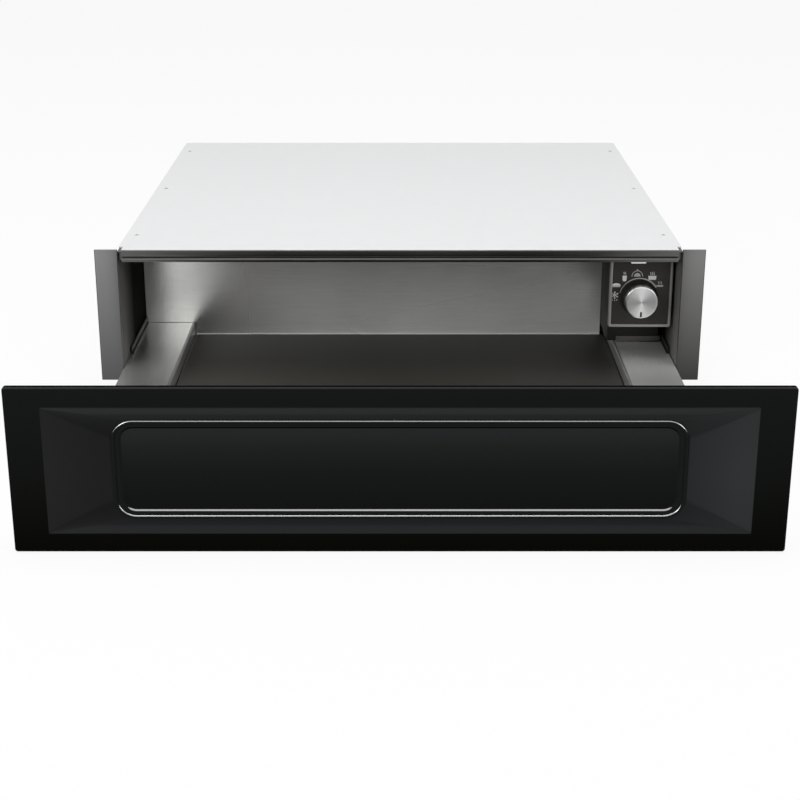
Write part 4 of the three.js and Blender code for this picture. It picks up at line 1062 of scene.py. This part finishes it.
def fasten():
    """The screws of the rear panel, the top cover, the side panels, the trim columns and the inner front."""
    rear, side = high("rear_panel").y, high("side_panel_right").x
    cover = high("top_cover").z - 1.4 * MM
    places = [(x * MM, rear, z * MM) for x in (-262, -130, 0, 130, 262) for z in (6, 133)]
    screws("rear_screw", places, (0, 1, 0), "housing")
    places = [(x * MM, FRONT_PLANE + y * MM, cover) for x in (-266, 266) for y in (60, 270, 480)]
    screws("cover_screw", places, (0, 0, 1), "housing", 3)
    edge_places = [(60, 11), (176, 11), (340, 11), (468, 11), (40, 128), (500, 128)]
    lip = abs(low("trim_column_right").x) + 2.3 * MM
    for sign, name in SIDES:
        places = [(sign * side, FRONT_PLANE + y * MM, z * MM) for y, z in edge_places]
        screws(f"side_screw_{name}", places, (sign, 0, 0), "housing", 2.6)
        places = [(sign * lip, FRONT_PLANE + 13 * MM, z) for z in COLUMN_SCREWS]
        screws(f"column_screw_{name}", places, (sign, 0, 0), "housing", 2.6)
    places = [(x * MM, high("inner_front").y, 122 * MM) for x in (-262, -90, 90, 262)]
    screws("liner_screw", places, (0, 1, 0), "drawer", 2.8)


fasten()

# ---------------------------------------------------------------- floor, light and camera

CAMERA = Vector((0, FRONT_PLANE - 1469.5 * MM, 538.7 * MM))
PITCH = math.radians(18.87)
LENS = 70.16
SHIFT = -0.06
WHITE = (1, 1, 1, 1)
AMBIENT = 0.4
FLOOR_GREY = (0.9, 0.9, 0.9, 1)
FLOOR_WHITE = 0.9  # share of plain white in the floor that the camera sees; the rest shows its shadow
FLOOR_REACH = 12


def white_for_camera(tree, surface, white_kind, share):
    """Mixes plain white over a surface for rays that see the background."""
    rays = tree.nodes.new("ShaderNodeLightPath").outputs
    seen = rays["Is Camera Ray"]
    for kind in ("Is Glossy Ray", "Is Transmission Ray"):
        seen = add_node(tree, "Math", {0: seen, 1: rays[kind]}, operation="MAXIMUM")
    mixed_in = add_node(tree, "Math", {0: seen, 1: share}, operation="MULTIPLY")
    white = add_node(tree, white_kind, {"Color": WHITE, "Strength": 1.0})
    return add_node(tree, "MixShader", {0: mixed_in, 1: surface, 2: white})


def studio():
    """White surroundings, and a pale floor that keeps the object's shadow."""
    world = bpy.data.worlds.new("studio")
    world.use_nodes = True
    bpy.context.scene.world = world
    tree = world.node_tree
    ambient = tree.nodes["Background"]
    ambient.inputs["Color"].default_value = WHITE
    ambient.inputs["Strength"].default_value = AMBIENT
    mix = white_for_camera(tree, ambient.outputs[0], "Background", 1.0)
    tree.links.new(mix, tree.nodes["World Output"].inputs["Surface"])

    material = bpy.data.materials.new("floor")
    material.use_nodes = True
    tree = material.node_tree
    tree.nodes.remove(tree.nodes["Principled BSDF"])
    chalk = add_node(tree, "BsdfDiffuse", {"Color": FLOOR_GREY})
    mix = white_for_camera(tree, chalk, "Emission", FLOOR_WHITE)
    tree.links.new(mix, tree.nodes["Material Output"].inputs["Surface"])
    corners = [(x * FLOOR_REACH, y * FLOOR_REACH, 0) for x, y in ((-1, -1), (1, -1), (1, 1), (-1, 1))]
    mesh = mesh_of("floor", corners, [(0, 1, 2, 3)])
    mesh.materials.append(material)
    floor = new_object("floor", mesh)


def softbox(name, place, aim, width, height, power):
    light = bpy.data.lights.new(name, "AREA")
    light.shape = "RECTANGLE"
    light.size, light.size_y = width, height
    light.energy = power
    lamp = new_object(name, light)
    lamp.location = place
    lamp.rotation_euler = (Vector(aim) - Vector(place)).to_track_quat("-Z", "Y").to_euler()
    lamp.visible_camera = False


def lights():
    softbox("overhead", (0, -0.6, 2.3), (0, -0.45, 0), 2.6, 1.2, power=34)
    softbox("front_left", (-1.9, -2.6, 1.3), (-0.1, -0.3, 0.05), 1.2, 1.2, power=22)
    softbox("front_right", (2.2, -1.9, 1.0), (0.1, -0.3, 0.05), 0.9, 1.2, power=10)


def camera():
    data = bpy.data.cameras.new("camera")
    data.sensor_width = 36
    data.lens = LENS
    data.shift_y = SHIFT
    data.clip_start, data.clip_end = 0.05, 100
    view = new_object("camera", data)
    view.location = CAMERA
    view.rotation_euler = Euler((math.pi / 2 - PITCH, 0, 0))
    bpy.context.scene.camera = view


studio()
lights()
camera()
bpy.context.scene.view_settings.view_transform = "Standard"
